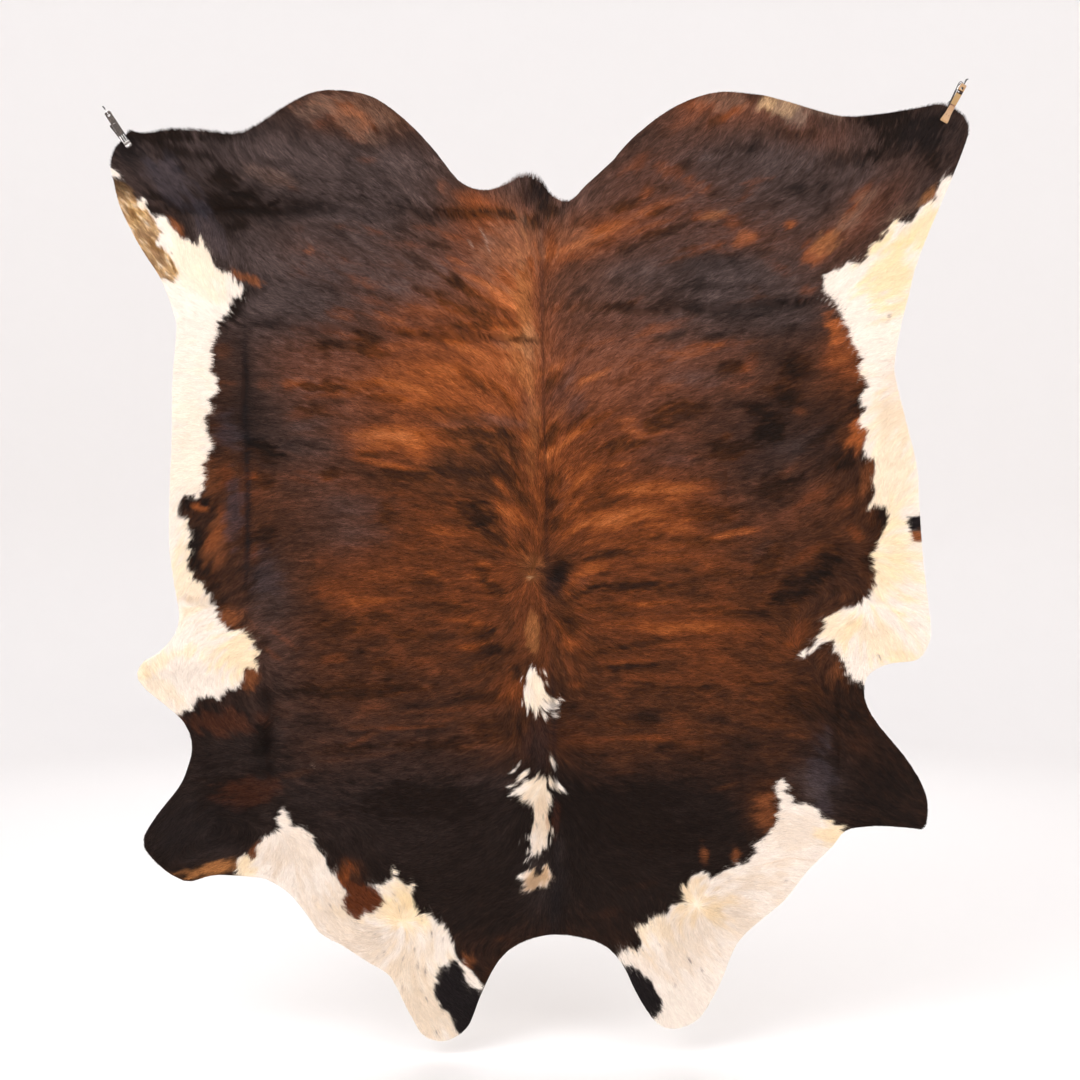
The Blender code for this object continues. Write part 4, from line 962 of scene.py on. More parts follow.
SHEEN_STREAKS = {
    # how much greyer the painted shine makes it, in percent: middle across and up, half length, half height,
    # turn if it has one
    10: [(115, -1108, 19, 14, 30), (-592, -1467, 19, 28)],
    15: [(-82, -1571, 70, 19)],
    20: [(-395, -1003, 56, 23), (150, -1126, 46, 9, 20), (-615, -1131, 37, 70), (-650, -1131, 23, 46),
        (-662, -783, 46, 21), (590, -806, 37, 23), (-221, -273, 32, 9), (-128, -389, 37, 12, -20),
        (22, -1479, 21, 32), (-198, -748, 79, 9), (-13, -702, 21, 37), (-534, -37, 60, 28, 30)],
    25: [(-360, -18, 32, 46), (-522, -748, 46, 16), (416, -540, 32, 14), (335, -834, 42, 14),
        (544, -899, 60, 32), (48, -934, 21, 16), (242, -1432, 60, 12), (-708, -946, 23, 51),
        (486, -1182, 51, 9), (532, -1050, 28, 32, -20), (-70, -563, 42, 12, -20), (242, -394, 70, 28),
        (428, -134, 93, 28), (752, -169, 60, 32), (613, -1560, 56, 19), (-731, -1745, 79, 23, 10),
        (-105, -320, 21, 14), (92, -691, 32, 23, 40), (-383, -262, 70, 19, -14)],
    30: [(-314, -146, 46, 46), (-604, -111, 46, 32), (-407, -934, 79, 28), (382, -640, 102, 21),
        (312, -542, 32, 12, 10), (57, -881, 23, 21, 50), (62, -1094, 21, 21), (637, -783, 46, 21, 35),
        (741, -818, 28, 16, 10), (-476, -401, 51, 23), (-249, -227, 70, 37, -10), (-105, -477, 60, 12, -28),
        (602, -134, 102, 37), (57, -1734, 14, 60), (-546, -146, 93, 23, -10), (-476, -262, 93, 14, -6),
        (-569, -371, 93, 28, -10)],
    35: [(-673, -331, 60, 51), (-499, -111, 79, 37), (-499, -18, 60, 28), (-133, -952, 37, 21, -25),
        (69, -644, 51, 23, 45), (-546, -459, 102, 46), (-638, -482, 37, 28), (590, -505, 70, 28),
        (676, -1479, 9, 107), (-82, -737, 70, 12, -10), (-650, -111, 70, 19, -8)],
    40: [(-847, -192, 60, 32, -25), (-441, 16, 116, 14), (-518, -797, 56, 21), (428, -389, 79, 32),
        (-717, -343, 23, 23)],
    45: [(648, -1595, 23, 23), (-859, -162, 79, 28, -35)],
    60: [(-766, -320, 32, 60, 30)],
    70: [(-754, -303, 23, 56, 28)],
}
SIDE_FRAY, LOCK_FRAY = 0.16, 0.15
STREAK_MARGIN = 1.9
DARKER_BY, WARMER_BY, SHEEN_BY, SHINE_LOST = 0.9, 1.0, 0.7, 1.6
BRINDLE_PLAY, WISP_PLAY, CLOUD_PLAY, LOCK_PLAY = 0.045, 0.035, 0.03, 0.03
LEAST_PLAY, MORE_PLAY, FULL_PLAY_AT = 0.45, 0.55, 0.5
BRINDLE_SHEEN, WISP_SHEEN, LOCK_SHEEN, MOST_SHEEN = 0.10, 0.12, 0.15, 0.92


def in_oval(x, z, middle, half_length, half_height, turn=0):
    """Places measured along and across a turned oval, as shares of its half length and half height."""
    x, z = x - middle[0] * MM, z - middle[1] * MM
    cos, sin = np.cos(np.radians(turn)), np.sin(np.radians(turn))
    return (x * cos + z * sin) / (half_length * MM), (z * cos - x * sin) / (half_height * MM)


def ovals(table):
    """The sum of soft ovals: strength * exp(-along^2 - across^2)."""
    total = np.zeros(coarse_x.shape)
    for name, *oval, strength in table:
        along, across = in_oval(coarse_x, coarse_z, *oval)
        total += strength * np.exp(-(along**2) - across**2)
    return spread_out(total)


def mixed(low, high, share):
    """Between two colours, or two charts of colour, by a chart of shares."""
    return np.asarray(low)[..., :3] * (1 - share[..., None]) + np.asarray(high)[..., :3] * share[..., None]


def shaded(warmth):
    """The colour at each warmth, read between the rows of the table above."""
    levels, colours = zip(*WARM_SHADES)
    parts = list(zip(*colours))[:3]
    return np.stack([np.interp(warmth, levels, part) for part in parts], -1).astype(np.float32)


def lay_streaks(chart, table, scale):
    """Adds strength * exp(-radius^4) for each streak, which is nearly flat inside and falls off fast at
    radius 1. The combed noise moves the border in and out, so that it is ragged like tufts."""
    for percent, rows in table.items():
        for middle_x, middle_z, half_length, *shape in rows:
            middle = (middle_x, middle_z)
            window, x, z = window_round(np.array([middle]) * MM, STREAK_MARGIN * half_length * MM)
            along, across = in_oval(x, z, middle, half_length, *shape)
            radius = np.hypot(along + SIDE_FRAY * brindle[window], across + SIDE_FRAY * wisps[window])
            radius += LOCK_FRAY * locks[window]
            chart[window] += scale * (percent / 100) * np.exp(-(radius.clip(0) ** 4))


warmth = WARM_BASE + ovals(WARM) - ovals(DARK)
lay_streaks(warmth, DARKER_STREAKS, -DARKER_BY)
lay_streaks(warmth, WARMER_STREAKS, WARMER_BY)
play = BRINDLE_PLAY * brindle + WISP_PLAY * wisps + CLOUD_PLAY * clouds
warmth += (LEAST_PLAY + MORE_PLAY * smooth_step(0.0, FULL_PLAY_AT, warmth)) * play
warmth += LOCK_PLAY * locks
# Painted sheen: how far each cell's colour is mixed towards the bluish grey of the shine.
painted_sheen = np.clip(SHEEN_BASE + ovals(PAINTED_SHEEN), 0, 1)
lay_streaks(painted_sheen, SHEEN_STREAKS, SHEEN_BY)
lay_streaks(painted_sheen, DARKER_STREAKS, -SHINE_LOST)
sheen_play = 1 + BRINDLE_SHEEN * brindle + WISP_SHEEN * wisps + LOCK_SHEEN * locks
painted_sheen = np.clip(painted_sheen * sheen_play, 0, MOST_SHEEN)
coat = mixed(shaded(warmth), SHEEN_GREY, painted_sheen) * (1 + ovals(LIGHTER_DARKER_OVALS))[..., None] * WARM_CAST
print("brindle mixed; mean warmth", warmth.mean().round(2))

# %% Spots, tan hair and flecks
RUSSET, TOFFEE, SAND, ASH = srgb(138, 79, 44), srgb(186, 122, 70), srgb(214, 174, 130), srgb(132, 106, 90)
# The second colour is cream in painted shade.
HAZEL, SHADED_CREAM = srgb(134, 102, 84), srgb(222, 199, 172)
# The last colour is the bluish grey of the shine painted on the hair, used by the slate, blue and sheen rows
# below.
JET, BARK, ORANGE, SHEEN_SLATE = srgb(30, 24, 24), srgb(96, 48, 24), srgb(178, 96, 46), srgb(58, 52, 58)
TINTED = [
    # name, middle, half length, half height, turn, colour, how much
    ("hip_rust", (-828, -294), 24, 12, -55, RUSSET, 0.85),
    ("belly_rust", (-669, -408), 38, 11, -18, RUSSET, 0.8),
    ("elbow_rust", (-708, -1198), 34, 24, -45, RUSSET, 0.75),
    ("elbow_rust_low", (-662, -1335), 30, 18, 60, RUSSET, 0.75),
    ("hoof_rust", (-747, -1773), 66, 15, 14, TOFFEE, 0.8),
    ("arm_rust", (-648, -1738), 12, 22, -30, RUSSET, 0.6),
    ("flank_orange", (692, -519), 22, 30, 10, ORANGE, 0.75),
    ("flank_rust", (743, -779), 24, 40, -20, ORANGE, 0.7),
    ("flank_rust_low", (766, -853), 16, 40, -8, RUSSET, 0.4),
    ("shank_rust", (539, -1636), 26, 44, -15, RUSSET, 0.55),
    ("shank_streak", (391, -1743), 10, 26, 10, RUSSET, 0.7),
    ("shank_streak_two", (463, -1748), 10, 26, -6, RUSSET, 0.7),
    ("throat_rust", (-154, -1993), 18, 14, -50, RUSSET, 0.6),
    ("left_lobe_rim", (-777, -941), 8, 26, 70, ORANGE, 0.6),
    ("band_rust", (-738, -1006), 60, 26, 75, RUSSET, 0.45),
    ("band_rust_top", (-752, -871), 22, 34, 10, RUSSET, 0.3),
    ("rump_rust", (-601, -176), 60, 24, -15, HAZEL, 0.16),
    ("rump_rust_right", (409, -266), 30, 12, 10, TOFFEE, 0.22),
    ("rump_rust_low", (490, -317), 30, 16, 20, ORANGE, 0.36),
    ("rump_rust_far", (592, -287), 18, 11, 15, ORANGE, 0.36),
    ("hip_gold", (646, -357), 26, 18, 20, ORANGE, 0.34),
    ("hip_gold_mid", (678, -320), 34, 22, 30, TOFFEE, 0.34),
    ("hip_gold_high", (720, -273), 34, 20, 52, HAZEL, 0.45),
    ("hip_gold_top", (766, -225), 36, 20, 38, HAZEL, 0.34),
    ("rim_gold", (915, -218), 14, 30, -35, TOFFEE, 0.45), ("rim_brown", (852, -255), 50, 14, 24, HAZEL, 0.28),
    ("hump_sand", (539, -2), 26, 18, -10, SAND, 0.95), ("hump_ash", (586, -21), 34, 24, -18, ASH, 0.85),
    ("hump_fan", (581, -16), 26, 16, 30, SAND, 0.45), ("hump_edge", (660, -23), 46, 12, -12, ASH, 0.5),
    ("hump_tan", (463, 0), 60, 22, 0, HAZEL, 0.50), ("hump_left_tan", (-511, -14), 46, 24, 24, HAZEL, 0.40),
    ("hump_left_brown", (-402, -32), 74, 44, -16, HAZEL, 0.42),
    ("knee_right", (697, -1321), 18, 20, 30, RUSSET, 0.4), ("whorl_heart", (-8, -1101), 5, 5, 0, SAND, 1.0),
    ("spine_tan_high", (-29, -459), 22, 110, 0, TOFFEE, 0.40),
    ("spine_gold", (-36, -602), 30, 66, 20, TOFFEE, 0.30),
    ("tail_hazel", (-54, -343), 76, 62, 20, HAZEL, 0.38),
    ("tail_hazel_right", (89, -315), 56, 36, -10, HAZEL, 0.25),
    ("spine_bright", (-17, -563), 18, 50, 0, SAND, 0.16),
    ("spine_tan_mid", (-6, -760), 14, 90, 0, TOFFEE, 0.15),
    ("spine_tan_low", (-3, -1233), 16, 44, 0, TOFFEE, 0.42),
    ("withers_tan", (-10, -1075), 30, 30, 0, TOFFEE, 0.14), ("tail_dark", (13, -204), 44, 26, 35, JET, 0.65),
    ("corner_left", (-944, -111), 60, 36, -30, JET, 0.6), ("corner_right", (915, -65), 80, 50, 10, JET, 0.45),
    ("spine_dark", (45, -1119), 18, 34, -15, JET, 0.50),
    ("loin_dark_right", (71, -702), 40, 60, 40, CHARCOAL, 0.35),
    ("neck_middle", (1, -1490), 30, 60, 0, JET, 0.6), ("spine_foot", (48, -1861), 22, 70, 0, JET, 0.6),
    ("neck_rust", (48, -1659), 9, 44, 0, BARK, 0.55), ("side_slate", (-699, -941), 22, 76, 0, SHEEN_SLATE, 0.60),
    ("side_slate_high", (-713, -755), 34, 40, 0, SHEEN_SLATE, 0.50),
    ("side_slate_low", (-629, -1096), 40, 60, 0, SHEEN_SLATE, 0.35),
    ("arm_left_brown", (-726, -1437), 84, 26, 0, BARK, 0.40),
    ("arm_left_low", (-662, -1595), 80, 30, 0, BARK, 0.32),
    ("hoof_left_dark", (-801, -1692), 120, 60, 8, JET, 0.45),
    # Painted sheen: on the lit side of the fold ridge on the right arm, and on the left corner and side.
    ("arm_right_sheen", (664, -1544), 26, 90, 0, SHEEN_SLATE, 0.45),
    ("corner_blue", (-842, -190), 80, 40, -38, SHEEN_SLATE, 0.55),
    ("side_blue", (-747, -301), 26, 60, 25, SHEEN_SLATE, 0.35),
]
SPOTS = [
    # name, outline, colour, fray in millimetres
    ("shank_brown", [
        (-444, -1812), (-425, -1803), (-402, -1812), (-379, -1817), (-360, -1831), (-353, -1852),
        (-365, -1868), (-383, -1882), (-416, -1889), (-439, -1882), (-448, -1856), (-439, -1833),
    ], BARK, 3.4),
    ("neck_black", [
        (-186, -1991), (-205, -2000), (-219, -2005), (-228, -2019), (-226, -2035), (-233, -2054),
        (-230, -2079), (-217, -2098), (-198, -2111), (-189, -2138), (-172, -2162), (-128, -2162),
        (-82, -2105), (-119, -2060), (-152, -2047), (-163, -2023), (-172, -2005),
    ], JET, 2.2),
    ("neck_black_right", [
        (191, -2005), (210, -2003), (224, -2000), (247, -2015), (268, -2035), (282, -2058), (293, -2079),
        (292, -2102), (273, -2125), (242, -2151), (173, -2058),
    ], JET, 2.2),
    ("flank_black", [(861, -962), (889, -959), (926, -959), (926, -997), (866, -994), (861, -978)], JET, 2.0),
    ("flank_black_rust", [(867, -994), (926, -994), (926, -1022), (882, -1020), (871, -1010)], RUSSET, 2.0),
]
TINT_MARGIN = 2.4
TINT_FULL, TINT_GONE = 0.45, 1.35
TINT_WISPS, TINT_BRINDLE = 0.22, 0.16


def tint(coat, middle, half_length, half_height, turn, colour, strength):
    """Mixes a colour in over one oval of the chart; its border is drawn out by the combed noise."""
    reach = TINT_MARGIN * max(half_length, half_height) * MM
    window, x, z = window_round(np.array([middle]) * MM, reach)
    along, across = in_oval(x, z, middle, half_length, half_height, turn)
    radius = np.sqrt(along**2 + across**2) - TINT_WISPS * wisps[window] - TINT_BRINDLE * brindle[window]
    share = strength * (1 - smooth_step(TINT_FULL, TINT_GONE, radius))
    coat[window] = mixed(coat[window], colour, share)


for name, *oval in TINTED:
    tint(coat, *oval)
coat *= np.exp(0.03 * wisps + 0.06 * locks)[..., None]
print(len(TINTED), "tints laid over the brindle")

# %% White hair, its tints and painted shade
BUTTERED = [
    # name, middle, half length, half height, turn, colour, how much
    ("band_top", (-787, -371), 90, 60, -50, BUTTER, 0.25),
    ("band_mid", (-801, -853), 60, 260, 0, BUTTER, 0.13),
    ("band_low", (-796, -1108), 50, 110, 0, BUTTER, 0.32),
    ("elbow_edge", (-859, -1293), 90, 16, 25, BUTTER, 0.40),
    ("elbow_yellow", (-685, -1282), 60, 60, 0, BUTTER, 0.54),
    ("elbow_foot", (-870, -1363), 80, 30, -30, BUTTER, 0.25),
    ("hoof", (-671, -1775), 22, 40, 0, BUTTER, 0.54), ("whorl_left", (-314, -1877), 60, 50, 0, BUTTER, 0.58),
    ("spikes_left", (-314, -1831), 60, 40, 0, BUTTER, 0.40),
    ("neck_fold", (-349, -1896), 120, 20, -12, BUTTER, 0.32),
    ("leg_left", (-267, -2081), 90, 140, 20, BUTTER, 0.20),
    ("whorl_right", (375, -1861), 70, 44, 0, BUTTER, 0.58),
    ("fold_right", (416, -1891), 40, 26, -35, BUTTER, 0.43),
    ("leg_right", (266, -1919), 60, 50, 0, BUTTER, 0.36),
    ("shank_tip", (697, -1697), 40, 30, 0, BUTTER, 0.58),
    ("hip_yellow", (822, -396), 60, 90, -10, BUTTER, 0.68),
    ("hip_high", (903, -296), 70, 60, 50, BUTTER, 0.62),
    ("band_right", (817, -876), 60, 200, 0, BUTTER, 0.36),
    ("band_right_low", (834, -1061), 80, 110, 0, BUTTER, 0.43),
    ("elbow_right", (799, -1247), 80, 50, 0, BUTTER, 0.40),
    ("elbow_rim", (857, -1293), 50, 26, 0, BUTTER, 0.43),
    ("elbow_root", (694, -1219), 50, 36, 0, BUTTER, 0.43),
    ("withers_warm", (11, -1374), 30, 50, 0, BUTTER, 0.29),
    ("neck_warm", (11, -1618), 40, 110, 0, BUTTER, 0.29),
    ("neck_low_ash", (6, -1803), 44, 30, 20, SAND, 0.95), ("neck_gold", (29, -1666), 5, 16, 0, TOFFEE, 0.7),
    ("neck_low_shade", (-3, -1812), 40, 20, 20, ASH, 0.42),
    ("neck_waist", (18, -1632), 18, 20, 0, SAND, 0.30),
    # The shank, leg, band and elbow rows in the shaded cream are painted shade on the white hair.
    ("shank_left", (-430, -1919), 180, 80, -30, SHADED_CREAM, 0.46),
    ("shank_right", (393, -1907), 180, 80, 30, SHADED_CREAM, 0.44),
    ("leg_left_foot", (-244, -2105), 90, 60, 0, SHADED_CREAM, 0.40),
    ("neck_grey", (15, -1664), 44, 90, 0, SHADED_CREAM, 0.50),
    ("tail_tip", (-917, -243), 24, 20, 0, BUTTER, 0.22),
    ("shank_left_top", (-546, -1734), 70, 60, 0, SHADED_CREAM, 0.30),
    ("shank_right_top", (602, -1692), 60, 50, 0, SHADED_CREAM, 0.30),
    ("band_right_shade", (836, -679), 44, 100, 0, SHADED_CREAM, 0.34),
    ("elbow_right_shade", (757, -1228), 50, 30, 0, SHADED_CREAM, 0.25),
]
FRECKLES = [
    (-998, -162), (-981, -174), (-958, -183), (-937, -204), (-930, -222), (-917, -245), (-898, -248),
    (-879, -280), (-868, -299), (-875, -317), (-886, -334), (-863, -337), (-847, -352), (-840, -371),
    (-824, -392), (-824, -403), (-840, -416), (-856, -405), (-870, -415), (-893, -424), (-963, -366),
    (-1021, -227),
]
FRECKLE_ROOT, FRECKLE_TAN, FRECKLE_GREY = srgb(142, 102, 60), srgb(222, 180, 122), srgb(168, 136, 108)
FRECKLE_DARK = srgb(72, 50, 30)
FRECKLE_FRAY = 2.5
GREYED, PALED, DARKENED = 0.40, 0.45, 0.9
GREY_TICKS = [
    (-330, -1833), (-316, -1866), (-356, -1898), (-372, -1926), (-353, -1945), (-350, -1970), (-367, -1982),
    (-279, -1963), (-307, -1986), (-271, -2001), (-254, -2015), (-240, -1926), (-214, -1942), (-307, -2049),
    (-261, -2056), (-251, -2077), (-228, -2156), (-325, -1850), (581, -1803), (474, -1884), (416, -1780),
    (451, -1799), (379, -1833), (532, -1854), (358, -1989), (324, -2047), (386, -2012), (289, -1954),
    (428, -1954), (-509, -1850), (-476, -1861), (-492, -1907), (820, -496), (794, -1286), (815, -510),
]
TICK_LENGTH, TICK_WIDTH = 5.5, 2.0
FAINTEST_TICK, BOLDEST_TICK = 0.35, 0.9

hair_white = np.broadcast_to(np.float32(CREAM[:3]), (ROWS, COLUMNS, 3)).copy()
for name, *oval in BUTTERED:
    tint(hair_white, *oval)
ticks = np.random.default_rng(41).uniform(FAINTEST_TICK, BOLDEST_TICK, len(GREY_TICKS))
for middle, strength in zip(GREY_TICKS, ticks):
    tint(hair_white, middle, TICK_LENGTH, TICK_WIDTH, 130 * strength, GREY_FLECK, strength)
hair_white *= (1 + 0.018 * wisps + 0.014 * locks)[..., None]

coat = mixed(coat, hair_white, white)
window, share = frayed(FRECKLES, FRECKLE_FRAY * MM)
streaky = smooth_step(-0.9, 1.0, locks[window] + 0.6 * wisps[window])
dusky = smooth_step(-0.4, 0.8, mottle(34 * MM, 42)[window])
freckled = mixed(mixed(FRECKLE_TAN, FRECKLE_ROOT, streaky), FRECKLE_GREY, GREYED * dusky)
pale = smooth_step(0.6, 2.2, -locks[window] - 0.6 * wisps[window])
freckled = mixed(freckled, CREAM, PALED * pale)
high_up = smooth_step(-240 * MM, -190 * MM, chart_z[window[0]])[:, None] * np.ones(share.shape)
freckled = mixed(freckled, FRECKLE_DARK, DARKENED * high_up)
coat[window] = mixed(coat[window], freckled, share)
white[window] *= 1 - share
for name, outline, colour, fray in SPOTS:
    window, share = frayed(outline, fray * MM)
    coat[window] = mixed(coat[window], colour, share)
    white[window] *= 1 - share
print(len(BUTTERED), "shades of white,", len(GREY_TICKS), "grey ticks,", len(SPOTS), "spots")

# %% Lines on the coat and painted shade in the folds
# The second colour is the dark brown of painted shadow in a fold.
HAIRLINE, FOLD_SHADE_BROWN = srgb(176, 146, 128), srgb(92, 48, 24)
LINES = [
    # name, points it runs through, half width, colour, how much
    # The side_fold and loin_fold lines are painted shadow in folds. The backbone lines are partly dark hair
    # and partly painted shadow beside the ridge of the backbone.
    ("backbone", [(18, -262), (15, -459), (20, -737), (27, -969), (32, -1247)], 5, SOOT, 0.50),
    ("backbone_low", [(36, -1247), (45, -1479), (50, -1757), (50, -1926)], 6, JET, 0.60),
    ("tail_line", [(22, -239), (13, -343), (11, -436)], 8, CHARCOAL, 0.35),
    ("scar_long", [(-133, -287), (-119, -310), (-110, -338), (-105, -357)], 2.1, HAIRLINE, 0.62),
    ("scar_short", [(-156, -317), (-145, -341)], 1.9, HAIRLINE, 0.55),
    ("scar_low", [(-520, -1530), (-511, -1546)], 1.8, ASH, 0.65),
    ("elbow_line", [(-910, -1340), (-842, -1328), (-771, -1296)], 2.0, CREAM, 0.6),
    ("elbow_line_right", [(771, -1282), (857, -1282)], 1.5, CREAM, 0.5),
    ("flank_line", [(752, -1161), (880, -1161)], 1.6, CREAM, 0.6),
    ("flank_shade_left", [(-828, -1152), (-750, -1152)], 7, SAND, 0.25),
    ("side_fold", [(-675, -473), (-673, -593), (-675, -695), (-670, -774), (-667, -899), (-667, -1010),
     (-673, -1182)], 6.5, JET, 0.95),
    ("loin_fold", [(-133, -544), (-82, -548), (-24, -551), (34, -555)], 6.5, FOLD_SHADE_BROWN, 0.80),
    ("shank_fold", [(497, -1775), (590, -1752), (683, -1761)], 1.5, SAND, 0.35),
]
DARKEST_HAIR = 0.002

for name, route, half_width, colour, strength in LINES:
    window, weight = stroke(route, half_width)
    coat[window] = mixed(coat[window], colour, strength * weight)
# Painted shade in the creases darkens the hair colour.
coat *= (1 - np.clip(crease_shade, 0, 0.8))[..., None]
coat = np.clip(coat, DARKEST_HAIR, 1).astype(np.float32)
print("lines and creases drawn; mean colour", coat.mean(axis=(0, 1)).round(3))

# %% [markdown]
# ## Finish of the skin
# The hair side of the skin is hardly seen: it is hair stubble of the same markings, darkened as painted
# shade deep between the hairs, though not under white hair, so that no gap between hairs shows a wrong
# colour. The flesh side is what the back of a rug looks like: grey-beige suede, shaved with long strokes,
# with darker stains, faint veins and a short nap. The two sides are one mesh with two materials. A picture
# of either side could be painted, but noise in the piece's own coordinates has no size of its own and no
# seams.

# %% Finish of the skin
STUBBLE_SHADE = 0.80
SUEDE, SUEDE_STAIN, SUEDE_PALE = srgb(196, 184, 165), srgb(172, 154, 130), srgb(211, 202, 187)
UNTOUCHED = srgb(255, 255, 255)
SHAVING_GRAIN = (7.0, 7.0, 60.0)
MIX_SHARE, MIX_GROUND, MIX_DUST, MIX_COLOUR = 0, 6, 7, 2


def noise_in(tree, place, **settings):
    """A noise texture that reads a place: its factor output."""
    noise = add_node(tree, "ShaderNodeTexNoise", **settings)
    tree.links.new(place, noise.inputs["Vector"])
    return noise.outputs["Fac"]


def ramp_of(tree, factor, *stops):
    """A colour ramp with a stop for each (position, colour) that is driven by a factor."""
    ramp = tree.nodes.new("ShaderNodeValToRGB")
    tree.links.new(factor, ramp.inputs["Fac"])
    marks = ramp.color_ramp.elements
    while len(marks) < len(stops):
        marks.new(0.5)
    for mark, (position, colour) in zip(marks, stops):
        mark.position, mark.color = position, colour
    return ramp.outputs["Color"]


def dusted(tree, ground, share, factor, *stops):
    """A ground colour multiplied, by a share, with the colour ramp that a factor drives."""
    mix = add_node(tree, "ShaderNodeMix", data_type="RGBA", blend_type="MULTIPLY")
    mix.inputs[MIX_SHARE].default_value = share
    tree.links.new(ground, mix.inputs[MIX_GROUND])
    tree.links.new(ramp_of(tree, factor, *stops), mix.inputs[MIX_DUST])
    return mix.outputs[MIX_COLOUR]


def ranged(tree, factor, low, high):
    """A factor from 0 to 1 spread over another range."""
    spread = add_node(tree, "ShaderNodeMapRange", To_Min=low, To_Max=high)
    tree.links.new(factor, spread.inputs["Value"])
    return spread.outputs["Result"]


def add_bump(tree, shader, height, strength, distance):
    """Bump from a height output, onto the shader's own normal."""
    bump = add_node(tree, "ShaderNodeBump", Strength=strength, Distance=distance)
    tree.links.new(height, bump.inputs["Height"])
    tree.links.new(bump.outputs["Normal"], shader.inputs["Normal"])


def own_place(tree, **stretch):
    """The piece's own coordinates, or the same turned and stretched where grain should run one way."""
    place = add_node(tree, "ShaderNodeTexCoord").outputs["Object"]
    if not stretch:
        return place
    mapping = add_node(tree, "ShaderNodeMapping", **stretch)
    tree.links.new(place, mapping.inputs["Vector"])
    return mapping.outputs["Vector"]


def colour_points(piece, colours):
    """Gives each point of a piece its own colour, which the material reads as hair_colour."""
    rows = np.ones((len(colours), 4), np.float32)
    rows[:, :3] = colours
    own = piece.data.color_attributes.new("hair_colour", "FLOAT_COLOR", "POINT")
    own.data.foreach_set("color", rows.ravel())


stubble, tree, shader = new_material("hair_stubble", srgb(60, 44, 36), 0.8)
shader.inputs["Specular IOR Level"].default_value = 0.06
root_colour = add_node(tree, "ShaderNodeAttribute", attribute_name="hair_colour").outputs["Color"]
fine = noise_in(tree, own_place(tree), Scale=700.0, Detail=2.0)
stubbled = dusted(tree, root_colour, 0.25, fine, (0.3, srgb(170, 165, 160)), (0.7, UNTOUCHED))
tree.links.new(stubbled, shader.inputs["Base Color"])
add_bump(tree, shader, fine, 0.4, 0.0008)

suede, tree, shader = new_material("suede_flesh_side", SUEDE, 0.9)
shader.inputs["Specular IOR Level"].default_value = 0.15
shader.inputs["Sheen Weight"].default_value = 0.25
shader.inputs["Sheen Roughness"].default_value = 0.6
place = own_place(tree)
patches = noise_in(tree, place, Scale=3.2, Detail=6.0, Roughness=0.6, Distortion=0.6)
ground = ramp_of(tree, patches, (0.36, SUEDE_STAIN), (0.52, SUEDE), (0.68, SUEDE_PALE))
shaving = noise_in(tree, own_place(tree, Scale=SHAVING_GRAIN), Scale=1.0, Detail=4.0)
shaved = dusted(tree, ground, 0.35, shaving, (0.35, srgb(196, 186, 172)), (0.62, UNTOUCHED))
veins = noise_in(tree, place, Scale=4.5, Detail=3.0, Distortion=1.4)
veined = dusted(tree, shaved, 0.28, veins, (0.465, UNTOUCHED), (0.5, srgb(206, 192, 176)), (0.535, UNTOUCHED))
nap = noise_in(tree, place, Scale=650.0, Detail=3.0, Roughness=0.7)
napped = dusted(tree, veined, 0.3, nap, (0.3, srgb(190, 182, 172)), (0.65, UNTOUCHED))
tree.links.new(napped, shader.inputs["Base Color"])
add_bump(tree, shader, nap, 0.5, 0.0006)

# Stubble colour: the coat darkened by the stubble shade as painted shade between the hairs, and not under
# white hair.
skin_colour = (STUBBLE_SHADE * read_chart(coat, points[:, 0], points[:, 2])).astype(np.float32)
skin_white = read_chart(white, points[:, 0], points[:, 2])[:, None]
skin_colour *= 1 + (1 / STUBBLE_SHADE - 1) * skin_white
colour_points(skin, skin_colour)

ring_of_point = np.arange(len(points)) // RIM_STEPS
ring_of_point[-2:] = (0, 2 * RINGS + 1)
side = (ring_of_point[triangles].max(axis=1) >= RINGS).astype(np.int32)
skin.data.materials.clear()
for finish in (stubble, suede):
    skin.data.materials.append(finish)
skin.data.polygons.foreach_set("material_index", side)
print("skin finished:", (side == 0).sum(), "triangles of stubble,", (side == 1).sum(), "of suede")

# %% [markdown]
# ## The coat
# Every hair is one long thin triangle: wide at its root, where other hairs cover it, and sharp at its
# tip. Curves or particle hair would look as fine, but they are lost when the model is exported. Roots
# are set out like the seeds of a sunflower, which fills any round shape evenly, here bent to the outline
# of the hide. A hair takes its colour from the chart a little way down its own length, because that is
# where it shows.

# %% Places for the hairs
HAIRS = 816000
GOLDEN = (np.sqrt(5) - 1) / 2
SCATTER = 1.6 * MM
ROOT_INSET = 1.0 * MM
HIDE_CM2 = 3.26e4


def sunflower(count):
    """Hair k grows at share sqrt((k + 1/2) / count) of the way out, and each next one a golden part of the
    way round. Round is measured by swept area, r^2 da / 2, so the outline gets them evenly."""
    order = np.arange(count)
    share = np.sqrt((order + 0.5) / count)
    offset = np.vstack([fine_rim, fine_rim[:1]]) - HEART
    swept = np.append(0, np.cumsum(offset[:-1, 0] * offset[1:, 1] - offset[1:, 0] * offset[:-1, 1]))
    turn = (order * GOLDEN) % 1 * swept[-1]
    edge = np.stack([np.interp(turn, swept, offset[:, axis]) for axis in (0, 1)], 1)
    return HEART + share[:, None] * edge


def rim_radius(x, z):
    """How far the rim lies from the heart in the direction of each place, and how far the place is."""
    offset = fine_rim - HEART
    angle = np.arctan2(offset[:, 1], offset[:, 0])
    order = np.argsort(angle)
    angle, radius = angle[order], np.linalg.norm(offset[order], axis=1)
    angle = np.concatenate([angle[-1:] - 2 * np.pi, angle, angle[:1] + 2 * np.pi])
    radius = np.concatenate([radius[-1:], radius, radius[:1]])
    here = np.arctan2(z - HEART[1], x - HEART[0])
    return np.interp(here, angle, radius), np.hypot(x - HEART[0], z - HEART[1])


